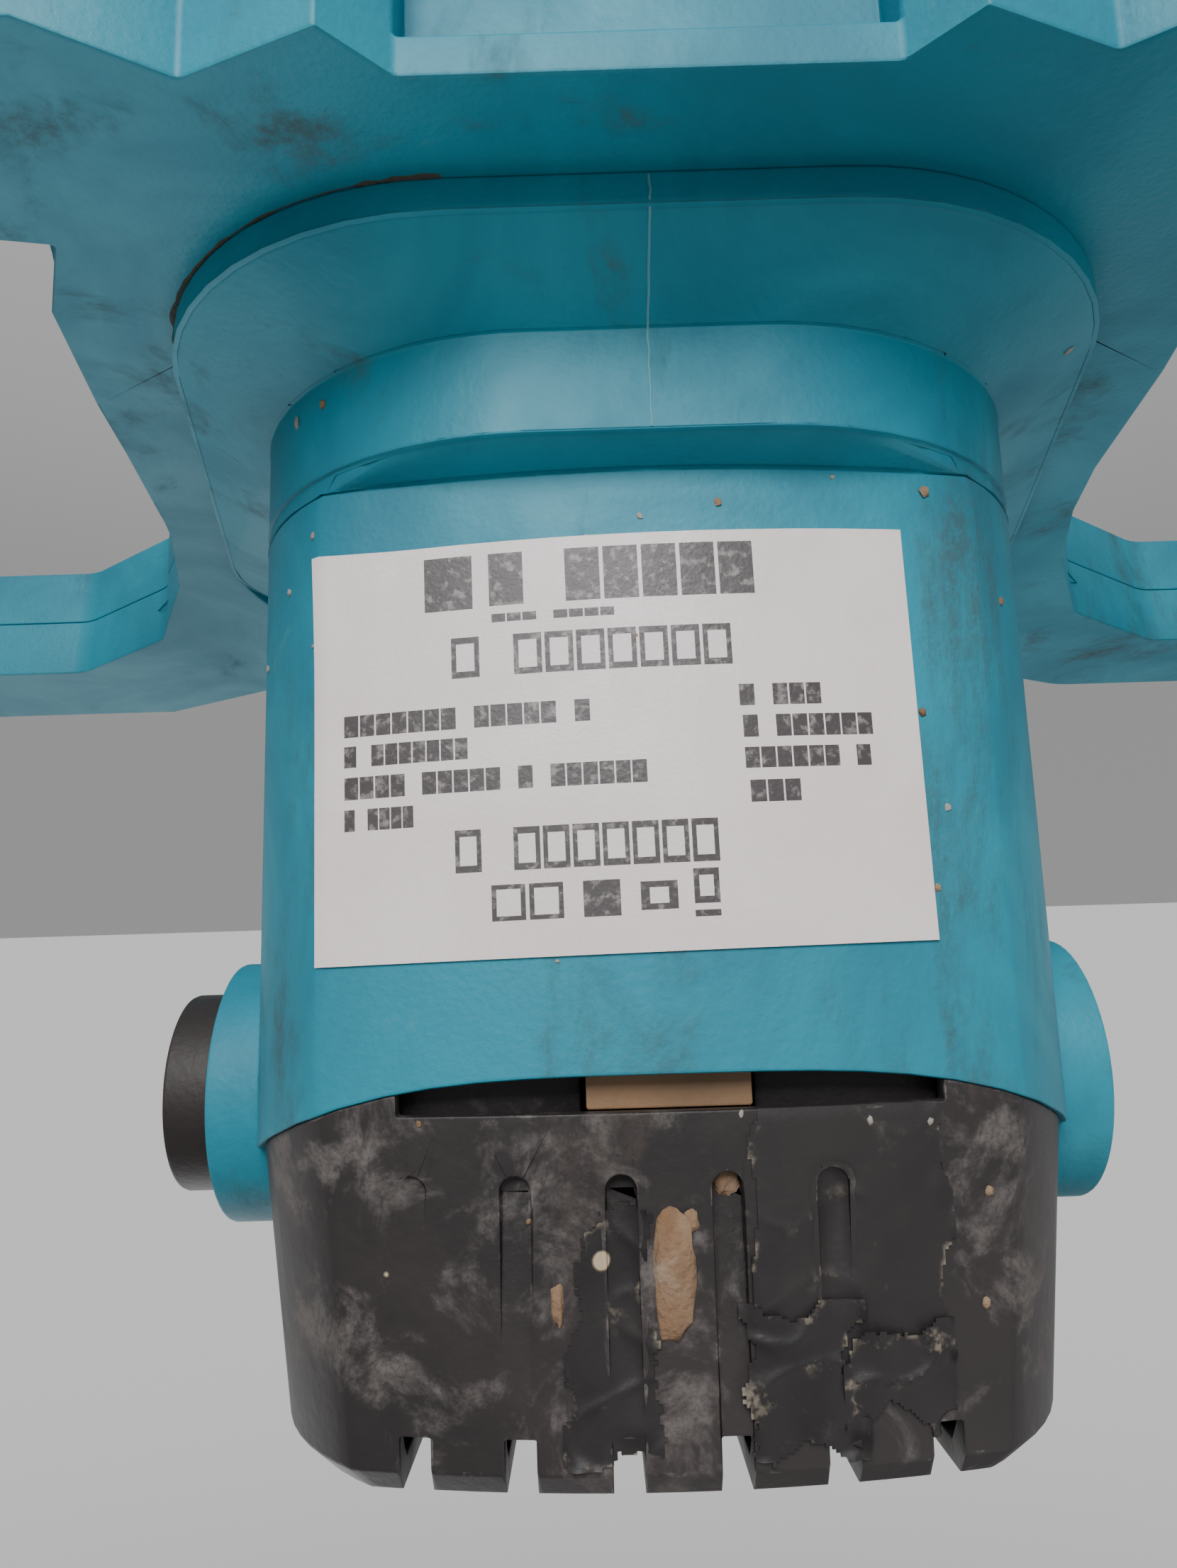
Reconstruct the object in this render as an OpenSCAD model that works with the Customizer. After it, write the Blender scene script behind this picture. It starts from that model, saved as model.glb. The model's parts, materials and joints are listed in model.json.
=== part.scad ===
// Handheld mortar mixer: yoke-handled motor unit with a screw-in mixing paddle.
// Upright, as held in use: the paddle hangs down the Z axis and the vented cap is on top.
// The origin lies on the spindle axis, in the middle of the handle frame.

/* [Motor housing] */
// Width of the motor column
column_w = 103; // [94:1:124]
// Depth of the motor column at its collar
column_d = 94; // [90:1:116]
// Radius of the column's corners
column_r = 38; // [32:1:40]
// Wall of the motor housing
housing_wall = 3.5; // [2.5:0.5:4.5]
// Length of the column from the flange to the front of the cap joint
column_len = 83; // [80:1:100]
// Height of the collar above the flange
collar_h = 12.4; // [10:0.2:16]
// Height of the bevel between the collar and the front panel
bevel_h = 2.3; // [1.5:0.1:4]
// Depth of the front panel below the collar
panel_drop = 5; // [3:0.5:5]
// Radius of the gently curved front panel
panel_r = 170; // [140:5:240]
// Rise of the joint line from the front to the sides
joint_rise = 10; // [6:0.5:12]

/* [Flange] */
// Height of the flange's upright rim
rim_h = 4; // [3:0.5:6]
// Height of the flange's sloped face
slope_h = 7; // [5:0.5:10]
// Reach of the flange in front of the spindle axis
flange_front = 58.5; // [56:0.5:68]
// Reach of the flange behind the spindle axis
flange_back = 80; // [76:1:86]
// Half width of the flange at its back
flange_half_w = 75; // [72:1:84]
// Half width of the flange at its front corners
flange_front_half_w = 61.5; // [58:0.5:70]

/* [Top cap] */
// Length of the vented cap at the front
cap_len = 42.7; // [42:1:56]
// Wall of the vented cap
cap_wall = 2.6; // [2:0.2:3.4]
// Size of the cap's end as a share of its joint
cap_taper = 0.915; // [0.88:0.005:1]
// Width of each vent groove
groove_w = 3.3; // [2.5:0.1:4.5]
// Spacing of the vent grooves
groove_pitch = 11.2; // [9:0.2:12]
// Number of vent grooves on each face
groove_count = 6; // [2:2:8]
// Depth of a groove in the cap's face
groove_depth = 1.6; // [0.8:0.1:2]

/* [Brushes] */
// Height of the brush axis above the joint's front
brush_rise = 3.6; // [2:0.2:8]
// Radius of the round brush bosses
boss_r = 17.5; // [16:0.5:20]
// Reach of the bosses from the spindle axis
boss_reach = 57.5; // [57:0.5:76]
// Radius of the brush caps
brush_cap_r = 13.3; // [12:0.1:14]
// How far the left brush cap stands out of its boss
brush_cap_proud = 7; // [1:0.5:9]
// Width of a carbon brush across the commutator
brush_w = 7; // [5:0.5:9]
// Height of a carbon brush
brush_h = 11; // [8:0.5:14]

/* [Motor] */
// Radius of the stator core
stator_r = 38; // [34:0.5:38]
// Length of the stator core
stator_len = 48; // [40:1:54]
// Radius of the armature core
armature_r = 23.2; // [20:0.2:24]
// Radius of the commutator
commutator_r = 14; // [12:0.5:16]
// Radius of the armature shaft
armature_shaft_r = 6; // [5:0.5:6]
// Radius of the cooling fan
fan_r = 41; // [36:0.5:42]
// Number of fan blades
fan_blades = 12; // [8:1:16]

/* [Handle frame] */
// Height of the frame's yoke
frame_h = 44; // [44:1:52]
// Wall of the frame shells
frame_wall = 3; // [2.4:0.2:3.6]
// Tilt of the handle loops, low at the front
loop_tilt = 8; // [4:1:10]
// Height of the loops' middle plane on the spindle axis
loop_z = 6; // [2:1:8]
// Height of the loop arms
arm_h = 26; // [24:1:30]
// Distance of each grip from the spindle axis
grip_x = 193; // [175:1:240]
// Radius of the grip tubes
grip_r = 16; // [15:0.5:18]
// Thickness of the rubber grip sleeves
sleeve_t = 2.5; // [2:0.5:4]
// Length of the rubber grip sleeves
sleeve_len = 122; // [100:1:122]

/* [Controls] */
// Travel of the trigger
trigger_travel = 6; // [4:0.5:6.5]
// Length of the trigger along the grip
trigger_len = 38; // [30:1:44]
// Travel of the lock button
lock_travel = 3; // [2:0.5:4]
// Radius of the lock button
lock_r = 4.5; // [3.5:0.5:6]
// Radius of the speed dial
dial_r = 10; // [8:0.5:11]
// Radius of the cord hole in the gland
cord_hole_r = 4.5; // [3.5:0.1:5.5]

/* [Gears] */
// Distance between the spindle axis and the layshaft
gear_gap = 30; // [30:1:33]
// Teeth of the armature pinion
pinion_teeth = 10; // [10:1:12]
// Teeth of the layshaft gear
lay_gear_teeth = 50; // [48:1:50]
// Teeth of the layshaft pinion
lay_pinion_teeth = 10; // [10:1:12]
// Teeth of the spindle gear
spindle_gear_teeth = 38; // [36:1:38]
// Backlash at the pitch circle
backlash = 0.16; // [0.12:0.02:0.3]

/* [Spindle and paddle] */
// Radius of the M14 socket and stud
thread_r = 7; // [6:0.5:8]
// Radius of the paddle's rods
rod_r = 8; // [7:0.5:10]
// Length of the upper rod below the spindle
upper_rod_len = 220; // [160:5:300]
// Length of the lower rod below the upper one
lower_rod_len = 360; // [280:5:460]
// Radius of the paddle's ring and ribbons
paddle_r = 60; // [45:1:75]
// Height of the ribbons
ribbon_h = 170; // [130:5:200]
// Number of ribbons
ribbon_count = 3; // [2:1:3]
// Turn of each ribbon from the ring to the rod
ribbon_turn = 150; // [90:5:200]
// Width and thickness of a ribbon
ribbon_bar = [10, 4];

/* [Hidden] */

$fn = 64;
hull_fn = 48;
cut = 1;
fit = 0.05;
loose = 0.3;
sliver = 0.1;
blend = 0.3;

z_frame = frame_h / 2;
z_slope = z_frame + rim_h;
z_column = z_slope + slope_h;
z_bevel = z_column + collar_h;
z_panel = z_bevel + bevel_h;
z_joint = z_column + column_len;
z_top = z_joint + cap_len;
z_brush = z_joint + brush_rise;

half_w = column_w / 2;
half_d = column_d / 2;
panel_y = panel_drop - half_d;

chamber_r = half_d - housing_wall;
z_baffle = z_panel - 2;
z_stator = z_baffle + 8;
z_stator_top = z_stator + stator_len;
z_ring = z_stator_top + 4;
ring_t = 4;
rib_t = 3;

plate_t = 6;
z_plate = z_brush + 12;
z_top_race = z_plate + plate_t + 2;

slot_half_w = 29.5;
slot_h = 3.8;
groove_start = 11.8;
notch_h = 6;
notch_len = 24;

post_xy = [34, 13];
post_r = 4.2;
screw_r = 2;

commutator_len = 19;
brush_len = 21;
boss_in = half_w - 5;
cap_seat = 4;
holder_r = 9.5;
holder_end = boss_reach - 12;

bolt_front = [44, -37];
bolt_back = [45, 52];
bolt_r = 2.5;

case_r = gear_gap + 4;
cavity_r = gear_gap - 1.5;
z_case = -z_frame;
gasket_t = 0.8;
case_flange_t = 8;
z_cavity = z_case - 14;
cover_top = z_frame - 2;
cover_t = 14;
z_cover = cover_top - cover_t;

// Bearings as [bore radius, outer radius, width, ball radius]
bearing_drive = [armature_shaft_r, 16, 10, 2.9];
bearing_end = [5, 15, 9, 2.7];
bearing_lay = [4, 11, 7, 1.9];
bearing_spindle = [10, 23.5, 14, 4];

z_drive_race = cover_top - bearing_drive[2];
z_lay_top = z_cover;
z_lay_bottom = z_cavity - bearing_lay[2];
z_spindle_top = z_lay_bottom - 3 - bearing_spindle[2];
z_spindle_low = z_spindle_top - 24 - bearing_spindle[2];
z_circlip = z_spindle_low - 1.6;
seal_t = 7;
z_seal = z_circlip - 2.4 - seal_t;
z_nose = z_seal - 17;
nose_r = 14;
socket_depth = 24;

lay_gear_t = 10;
spindle_gear_t = 16;
z_spindle_gear = z_cavity + 4;
z_lay_gear = z_spindle_gear + spindle_gear_t + 5;
z_lay_pinion = z_cavity + 3;
pressure_angle = 25;
addendum = 0.85;
dedendum = 1.25;
shift = 0.4;
first_module = 2 * gear_gap / (pinion_teeth + lay_gear_teeth);
second_module = 2 * gear_gap / (lay_pinion_teeth + spindle_gear_teeth);

loop_front = -80;
loop_back = 118;
grip_y = [-54, 98];
sleeve_y = -40;
screw_xy = [[95, -63], [150, -59], [104, 102], [152, 104]];
trigger_y = -28;
trigger_half_h = 7;
trigger_x = grip_x - grip_r - 5;
switch_x = grip_x - 4;
switch_w = 14;
lock_y = -47;
dial_xy = [122, -61];
gland_y = 108;
gland_len = 27;
gland_r = 8.5;
label_w = 69;
label_h = 47.5;
label_x = 4.6;
label_t = 0.3;
label_z = z_panel + 8;

teal = "#2f8fae";
dark_plastic = "#2b2729";
steel = "#b9bcc0";
alu = "#a9adb0";
copper = "#b0643a";
brass = "#c9a552";
rubber = "#232323";

// ---------- outlines ----------

module rounded_rect(w, d, r) {
    square([w, d - 2 * r], center = true);
    square([w - 2 * r, d], center = true);
    for (x = [-1, 1], y = [-1, 1])
        translate([x * (w / 2 - r), y * (d / 2 - r)]) circle(r);
}

// Section of the motor column, drawn in by inset, with its curved front panel
module column_outline(inset = 0) {
    intersection() {
        collar_outline(inset);
        translate([0, panel_y + panel_r]) circle(panel_r - inset, $fn = 256);
    }
}

module collar_outline(inset = 0) {
    rounded_rect(column_w - 2 * inset, column_d - 2 * inset, column_r - inset);
}

module flange_outline() {
    front_r = 40;
    back_r = 34;
    hull() {
        for (s = [-1, 1]) {
            translate([s * (flange_front_half_w - front_r), front_r - flange_front]) circle(front_r);
            translate([s * (flange_half_w - back_r), flange_back - back_r]) circle(back_r);
        }
    }
}

// Two round lobes, over the spindle axis and over the layshaft
module case_outline(r) {
    hull() {
        circle(r);
        translate([0, gear_gap]) circle(r);
    }
}

// Faceted front edge, side edges and back of the frame's yoke
module yoke_outline(inset = 0) {
    half = [
        [24, -72], [30, -78], [44, -72.5], [56, -80], [86, -80], [86, -53], [66.5, -49],
        [73, -36], [77, -14], [80, 10], [83, 34], [88, 52], [98, 70], [98, 94]
    ];
    points = concat(half, [for (i = [len(half) - 1:-1:0]) [-half[i][0], half[i][1]]]);
    offset(delta = -inset) polygon(points);
}

// Outer edge of a handle loop on the +X side
module loop_outer(inset = 0) {
    offset(r = 14 - inset) offset(delta = -14)
        polygon([
            [58, loop_front], [grip_x - 10, loop_front + 6], [grip_x + grip_r, -54],
            [grip_x + grip_r, loop_back - 16], [grip_x - 4, loop_back], [112, loop_back], [58, 94]
        ]);
}

// Hand opening of a handle loop on the +X side
module hand_gap(grow = 0) {
    offset(r = 9 + grow) offset(delta = -9)
        polygon([
            [66, -49], [grip_x - grip_r, -46], [grip_x - grip_r, 92], [124, 92], [100, 76],
            [88, 52], [83, 34], [80, 10], [77, -14], [73, -36]
        ]);
}

// Half width of the joint line's flat part sets how the line climbs to the sides
function joint_z(x) = z_joint + joint_rise * pow(min(abs(x), half_w) / half_w, 3.4);

// Everything on the cap side of the curved joint line
module above_joint() {
    steps = [for (i = [-10:10]) i * half_w / 10];
    top = z_top + 20;
    rotate([90, 0, 0])
        linear_extrude(2 * column_d, center = true)
            polygon(concat(
                [[-2 * half_w, top], [-2 * half_w, joint_z(half_w)]],
                [for (x = steps) [x, joint_z(x)]],
                [[2 * half_w, joint_z(half_w)], [2 * half_w, top]]
            ));
}

// ---------- shared shapes ----------

module ring(r_out, r_in, h) {
    difference() {
        cylinder(r = r_out, h = h);
        translate([0, 0, -cut]) cylinder(r = r_in, h = h + 2 * cut);
    }
}

module mirrored_x() {
    children();
    mirror([1, 0, 0]) children();
}

// The tilted frame that the handle loops and their controls lie in
module in_loops() {
    translate([0, 0, loop_z]) rotate([loop_tilt, 0, 0]) children();
}

// A cylinder along +X from x0 to x1
module rod_x(r, x0, x1) {
    translate([x0, 0, 0]) rotate([0, 90, 0]) cylinder(r = r, h = x1 - x0);
}

// A cylinder along +Y from y0 to y1
module rod_y(r, y0, y1) {
    translate([0, y0, 0]) rotate([-90, 0, 0]) cylinder(r = r, h = y1 - y0);
}

module at_bolts() {
    mirrored_x() {
        translate(bolt_front) children();
        translate(bolt_back) children();
    }
}

function race_gap(b) = (b[1] - b[0]) / 2;
function race_mid(b) = b[0] + race_gap(b);

module race_groove(b) {
    translate([0, 0, b[2] / 2])
        rotate_extrude() translate([race_mid(b), 0]) circle(b[3] + fit, $fn = 32);
}

module outer_race(b) {
    difference() {
        ring(b[1], race_mid(b) + 0.5 * b[3], b[2]);
        race_groove(b);
    }
}

module inner_race(b) {
    difference() {
        ring(race_mid(b) - 0.5 * b[3], b[0] + fit / 2, b[2]);
        race_groove(b);
    }
}

module race_balls(b) {
    count = floor(PI * race_mid(b) / b[3] / 1.25);
    for (i = [0:count - 1])
        rotate(i * 360 / count) translate([race_mid(b), 0, b[2] / 2]) sphere(b[3], $fn = 24);
}

// ---------- involute gears ----------

function involute(a) = tan(a) - a * PI / 180;

// Half the angle of a tooth at radius r, for profile shift x
function tooth_half(m, z, x, r) =
    let (base = m * z * cos(pressure_angle) / 2, a = r > base ? acos(base / r) : 0)
    (PI / 2 + 2 * x * tan(pressure_angle) - backlash / m / 2) / z * 180 / PI
        + (involute(pressure_angle) - involute(a)) * 180 / PI;

// One tooth's points, from root to tip and back, around angle at
function tooth_points(m, z, x, at) =
    let (
        root = m * (z / 2 + x - dedendum),
        base = max(root, m * z * cos(pressure_angle) / 2),
        tip = m * (z / 2 + x + addendum),
        radii = concat(root < base ? [root] : [], [for (i = [0:4]) base + (tip - base) * i / 4])
    )
    concat(
        [for (r = radii) let (a = at - tooth_half(m, z, x, r)) [r * cos(a), r * sin(a)]],
        [for (i = [len(radii) - 1:-1:0])
            let (r = radii[i], a = at + tooth_half(m, z, x, r)) [r * cos(a), r * sin(a)]]
    );

// A spur gear with one tooth, or one gap, centred on angle at
module gear(m, z, x, h, at = 0, gap = false) {
    first = at + (gap ? 180 / z : 0);
    linear_extrude(h)
        polygon([for (i = [0:z - 1]) each tooth_points(m, z, x, first + i * 360 / z)]);
}

// ---------- motor housing ----------

module column_shell_outer() {
    translate([0, 0, z_frame]) linear_extrude(rim_h) flange_outline();
    hull() {
        translate([0, 0, z_slope - sliver])
            linear_extrude(2 * sliver, $fn = hull_fn) offset(delta = -blend) flange_outline();
        translate([0, 0, z_column - sliver]) linear_extrude(sliver) collar_outline(-blend, $fn = hull_fn);
    }
    translate([0, 0, z_slope]) linear_extrude(z_bevel - z_slope) collar_outline();
    hull() {
        translate([0, 0, z_bevel - sliver]) linear_extrude(2 * sliver) collar_outline(blend, $fn = hull_fn);
        translate([0, 0, z_panel]) linear_extrude(sliver) column_outline(blend, $fn = hull_fn);
    }
    translate([0, 0, z_panel]) linear_extrude(z_top - z_panel) column_outline();
}

module brush_bores() {
    rod_x(holder_r + fit, boss_in - 12, boss_reach + cut);
    rod_x(brush_cap_r + 0.2, boss_reach - cap_seat, boss_reach + cut);
}

module motor_housing() {
    color(teal) {
        difference() {
            union() {
                difference() {
                    column_shell_outer();
                    above_joint();
                    translate([0, 0, z_baffle])
                        linear_extrude(z_top) column_outline(housing_wall);
                }
                stator_ribs();
                mirrored_x() translate([0, 0, z_brush]) rod_x(boss_r, boss_in, boss_reach);
            }
            translate([0, 0, z_frame - cut]) cylinder(r = chamber_r, h = z_baffle - z_frame + cut);
            translate([0, 0, z_stator - cut]) cylinder(r = stator_r + fit, h = z_top);
            mirrored_x() translate([0, 0, z_brush]) brush_bores();
            at_bolts() translate([0, 0, z_frame - cut]) cylinder(r = bolt_r + fit, h = cut + 7);
            exhaust_slots();
        }
    }
}

// Ribs that hold the stator and carry the bracket's ears
module stator_ribs() {
    intersection() {
        for (a = [0, 45, 135, 180, 225, 315])
            rotate(a) translate([stator_r - 1, -rib_t / 2, z_stator - 2])
                cube([column_w / 2, rib_t, z_ring - z_stator + 2]);
        translate([0, 0, z_baffle]) linear_extrude(z_top) column_outline(housing_wall / 2);
    }
}

// Air outlets through the back of the collar
module exhaust_slots() {
    for (i = [-3:3])
        rotate(90 + 11 * i) translate([chamber_r - cut, -1.5, z_column + 1.5])
            cube([column_w / 2, 3, collar_h - 3]);
}

module rating_label() {
    color("#e8dedd")
        intersection() {
            translate([0, panel_y + panel_r, label_z]) ring(panel_r + label_t, panel_r, label_h);
            translate([label_x - label_w / 2, -half_d, label_z]) cube([label_w, 20, label_h]);
        }
}

// ---------- top cap ----------

module cap_form(inset, grow_down) {
    hull() {
        translate([0, 0, z_joint - grow_down]) linear_extrude(sliver) column_outline(inset);
        translate([0, 0, z_top - 2.6 - inset])
            linear_extrude(sliver) scale([cap_taper, cap_taper]) column_outline(inset);
        translate([0, 0, z_top - sliver - inset])
            linear_extrude(sliver) scale([cap_taper - 0.05, cap_taper - 0.05]) column_outline(inset);
    }
}

module vent_grooves() {
    deep = half_d + panel_drop;
    for (i = [0:groove_count - 1]) {
        x = (i - (groove_count - 1) / 2) * groove_pitch;
        for (side = [-1, 1]) {
            face = side < 0 ? -panel_y * 0.955 : half_d * 0.955;
            translate([x, side * (face - groove_depth + deep / 2), 0]) {
                translate([-groove_w / 2, -deep / 2, z_joint + groove_start])
                    cube([groove_w, deep, cap_len]);
                translate([0, 0, z_joint + groove_start]) rod_y(groove_w / 2, -deep / 2, deep / 2);
            }
            translate([x - groove_w / 2, side < 0 ? -half_d - cut : face - notch_len, z_top - notch_h])
                cube([groove_w, half_d + cut - face + notch_len, notch_h + cut]);
        }
    }
}

module top_cap() {
    color(dark_plastic)
        difference() {
            union() {
                difference() {
                    intersection() {
                        cap_form(0, 0);
                        above_joint();
                    }
                    cap_form(cap_wall, cut);
                    vent_grooves();
                }
                mirrored_x() for (s = [-1, 1])
                    translate([post_xy[0], s * post_xy[1], z_plate + plate_t])
                        cylinder(r = post_r, h = z_top - 2 - z_plate - plate_t);
            }
            translate([-slot_half_w, -half_d - cut, z_joint - cut])
                cube([2 * slot_half_w, 12, slot_h + cut]);
            mirrored_x() translate([0, 0, z_brush]) rod_x(boss_r + loose, boss_in - 2, boss_reach);
            mirrored_x() for (s = [-1, 1]) translate([post_xy[0], s * post_xy[1], 0]) {
                translate([0, 0, z_plate]) cylinder(r = screw_r + 0.2, h = z_top);
                translate([0, 0, z_top - 6]) cylinder(r = 3.6, h = 6 + cut);
            }
        }
}

module cap_screws() {
    color(steel)
        mirrored_x() for (s = [-1, 1]) translate([post_xy[0], s * post_xy[1], 0]) {
            translate([0, 0, z_plate + 1]) cylinder(r = screw_r, h = z_top - 6 - z_plate);
            difference() {
                translate([0, 0, z_top - 6]) cylinder(r = 3.3, h = 2.4);
                for (a = [0, 90]) translate([0, 0, z_top - 4]) rotate(a)
                    cube([4.4, 0.9, 2], center = true);
            }
        }
}

// ---------- brush gear ----------

// One brush cap on the +X side: a threaded body behind a slotted round head
module brush_cap(proud) {
    head = boss_reach - cap_seat + fit;
    difference() {
        union() {
            rod_x(holder_r - 0.3, holder_end + 0.2, head + 1);
            rod_x(brush_cap_r, head, boss_reach + proud);
        }
        translate([boss_reach + proud, 0, 0]) cube([3.2, 1.6, 2 * brush_cap_r - 6], center = true);
    }
}

module brush_cap_left() {
    color("#1c1816") translate([0, 0, z_brush]) brush_cap(brush_cap_proud);
}

module brush_cap_right() {
    color("#1c1816") mirror([1, 0, 0]) translate([0, 0, z_brush]) brush_cap(-0.5);
}

module brush_holder() {
    translate([0, 0, z_brush])
        difference() {
            rod_x(holder_r - 0.02, commutator_r + 2.4, holder_end);
            translate([commutator_r, -brush_w / 2 - fit, -brush_h / 2 - fit])
                cube([boss_reach, brush_w + 2 * fit, brush_h + 2 * fit]);
        }
}

module carbon_brush() {
    translate([0, 0, z_brush])
        difference() {
            translate([commutator_r - 2, -brush_w / 2, -brush_h / 2])
                cube([brush_len + 2, brush_w, brush_h]);
            translate([0, 0, -brush_h]) cylinder(r = commutator_r + fit, h = 2 * brush_h);
        }
}

module brush_spring() {
    translate([commutator_r + brush_len + 0.02, 0, z_brush])
        rotate([0, 90, 0]) ring(2.9, 2.2, holder_end + 0.16 - commutator_r - brush_len);
}

module brush_holder_left() { color(brass) brush_holder(); }
module brush_holder_right() { color(brass) mirror([1, 0, 0]) brush_holder(); }
module carbon_brush_left() { color("#2c2c2e") carbon_brush(); }
module carbon_brush_right() { color("#2c2c2e") mirror([1, 0, 0]) carbon_brush(); }
module brush_spring_left() { color(steel) brush_spring(); }
module brush_spring_right() { color(steel) mirror([1, 0, 0]) brush_spring(); }

// Brown moulded bracket: a ring on the ribs, four legs and a plate with the upper bearing seat
module commutator_bracket() {
    seat = bearing_end[1];
    leg_r = stator_r + 2;
    color("#8a6238")
        difference() {
            union() {
                translate([0, 0, z_ring]) ring(stator_r - 0.2, stator_r - 4.5, ring_t);
                for (a = [45, 135, 225, 315]) rotate(a) {
                    translate([stator_r - 4, -4, z_ring]) cube([9, 8, ring_t]);
                    translate([leg_r - 6, -4, z_ring]) cube([6, 8, z_plate + plate_t - z_ring]);
                    translate([seat, -5, z_plate]) cube([leg_r - seat, 10, plate_t]);
                }
                translate([-post_xy[0], -post_xy[1] - post_r, z_plate])
                    cube([2 * post_xy[0], 2 * (post_xy[1] + post_r), plate_t]);
                for (x = [-1, 1], y = [-1, 1])
                    translate([x * post_xy[0], y * post_xy[1], z_plate])
                        cylinder(r = post_r, h = plate_t);
                translate([0, 0, z_plate]) cylinder(r = seat + 3, h = plate_t + 11);
                translate([-9, panel_y + housing_wall + 0.3, z_ring])
                    cube([18, 2, z_joint + slot_h - z_ring]);
            }
            translate([0, 0, z_plate - cut]) cylinder(r = bearing_end[0] + 4, h = plate_t + 12);
            translate([0, 0, z_top_race]) cylinder(r = seat + fit / 5, h = 20);
            for (x = [-1, 1], y = [-1, 1])
                translate([x * post_xy[0], y * post_xy[1], z_plate - cut])
                    cylinder(r = screw_r + 0.02, h = plate_t + 2 * cut);
            for (x = [-1, 1]) translate([x * 25, 0, z_plate - cut])
                cylinder(r = 5, h = plate_t + 2 * cut);
        }
}

// ---------- stator and fan baffle ----------

module stator_core() {
    color("#8d8f92")
        difference() {
            translate([0, 0, z_stator]) cylinder(r = stator_r, h = stator_len);
            translate([0, 0, z_stator - cut])
                cylinder(r = armature_r + 0.8, h = stator_len + 2 * cut);
            for (a = [45, 135, 225, 315]) rotate(a)
                translate([armature_r + 2.4, -5, z_stator - cut])
                    cube([stator_r - armature_r - 7, 10, stator_len + 2 * cut]);
        }
}

// Two coils, one round each pole: sides through the stator's pockets and end turns over it
module field_coils() {
    side = stator_r - armature_r - 8;
    color(copper)
        for (pole = [0, 180]) rotate(pole) {
            for (a = [45, 135]) rotate(a)
                translate([armature_r + 2.9, -4.5, z_stator - 4])
                    cube([side, 9, stator_len + 7.4]);
            for (z = [z_stator - 4, z_stator_top + 0.2]) translate([0, 0, z])
                intersection() {
                    ring(stator_r - 4.6, armature_r + 3.4, z < z_stator ? 3.8 : 3.2);
                    rotate(45) cube([stator_r, stator_r, 10]);
                }
        }
}

module fan_baffle() {
    color(dark_plastic)
        translate([0, 0, z_baffle - 2]) ring(chamber_r - 0.1, armature_r + 4, 2);
}

// ---------- handle frame ----------

// Solid form of the whole frame, drawn in by inset
module frame_form(inset) {
    translate([0, 0, -z_frame + inset])
        linear_extrude(frame_h - 2 * inset) yoke_outline(inset);
    in_loops() mirrored_x() {
        translate([0, 0, -arm_h / 2 + inset])
            linear_extrude(arm_h - 2 * inset)
                difference() {
                    loop_outer(inset);
                    hand_gap(inset);
                    translate([grip_x - grip_r - inset, grip_y[0] - inset])
                        square([3 * grip_r, grip_y[1] - grip_y[0] + 2 * inset]);
                }
        translate([grip_x, 0, 0])
            rod_y(grip_r - inset, grip_y[0] - (inset > 0 ? inset : 0), grip_y[1] + inset);
    }
}

// Space inside the frame's walls, with the wall round the gear case left standing
module frame_cavity() {
    difference() {
        frame_form(frame_wall);
        translate([0, 0, -frame_h]) linear_extrude(2 * frame_h) case_outline(case_r + frame_wall);
    }
}

module loop_half(upper) {
    in_loops() translate([-2 * grip_x, -2 * grip_x, upper ? 0 : -4 * frame_h])
        cube([4 * grip_x, 4 * grip_x, 4 * frame_h]);
}

module frame_posts(r) {
    at_bolts() translate([0, 0, -z_frame]) cylinder(r = r, h = frame_h);
}

module screw_posts(r) {
    in_loops() mirrored_x() for (p = screw_xy)
        translate([p[0], p[1], -arm_h / 2]) cylinder(r = r, h = arm_h);
}

// Holes that both shells share: the motor's flange, the gear case, the bolts, the trigger and the gland
module frame_holes() {
    translate([0, 0, z_frame]) linear_extrude(frame_h) offset(delta = fit) flange_outline();
    translate([0, 0, -frame_h]) linear_extrude(2 * frame_h) case_outline(case_r + loose);
    at_bolts() translate([0, 0, -frame_h]) cylinder(r = bolt_r + 0.3, h = 2 * frame_h);
    translate([-24, -90, -z_frame + 8]) cube([48, 24, frame_h - 12.5]);
    in_loops() {
        translate([-trigger_x - 14, trigger_y - 0.5, -trigger_half_h - 0.5])
            cube([20, trigger_len + 1, 2 * trigger_half_h + 1]);
        translate([-grip_x, 0, 0]) rod_y(gland_r + fit, gland_y - 8, gland_y + 30);
    }
}

module frame_shell(upper) {
    difference() {
        intersection() {
            union() {
                difference() {
                    frame_form(0);
                    frame_cavity();
                }
                frame_posts(bolt_r + 3.5);
                screw_posts(5.2);
                yoke_recess_wall();
            }
            loop_half(upper);
        }
        frame_holes();
    }
}

// Wall behind the recess in the yoke's front
module yoke_recess_wall() {
    translate([-27, -69, -z_frame + 5]) cube([54, 6, frame_h - 6.5]);
}

module frame_upper_shell() {
    color(teal)
        difference() {
            frame_shell(true);
            in_loops() {
                mirrored_x() for (p = screw_xy)
                    translate([p[0], p[1], -cut]) cylinder(r = screw_r + 0.02, h = 9.5 + cut);
                translate([-grip_x, lock_y, 0]) cylinder(r = lock_r + 0.1, h = arm_h);
                translate([-dial_xy[0], dial_xy[1], 0]) cylinder(r = 5.1, h = arm_h);
            }
        }
}

module frame_lower_shell() {
    color(teal)
        difference() {
            frame_shell(false);
            in_loops() mirrored_x() for (p = screw_xy) translate([p[0], p[1], -arm_h]) {
                cylinder(r = screw_r + 0.2, h = arm_h + cut);
                cylinder(r = 4, h = arm_h / 2 + 4);
            }
        }
}

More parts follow.
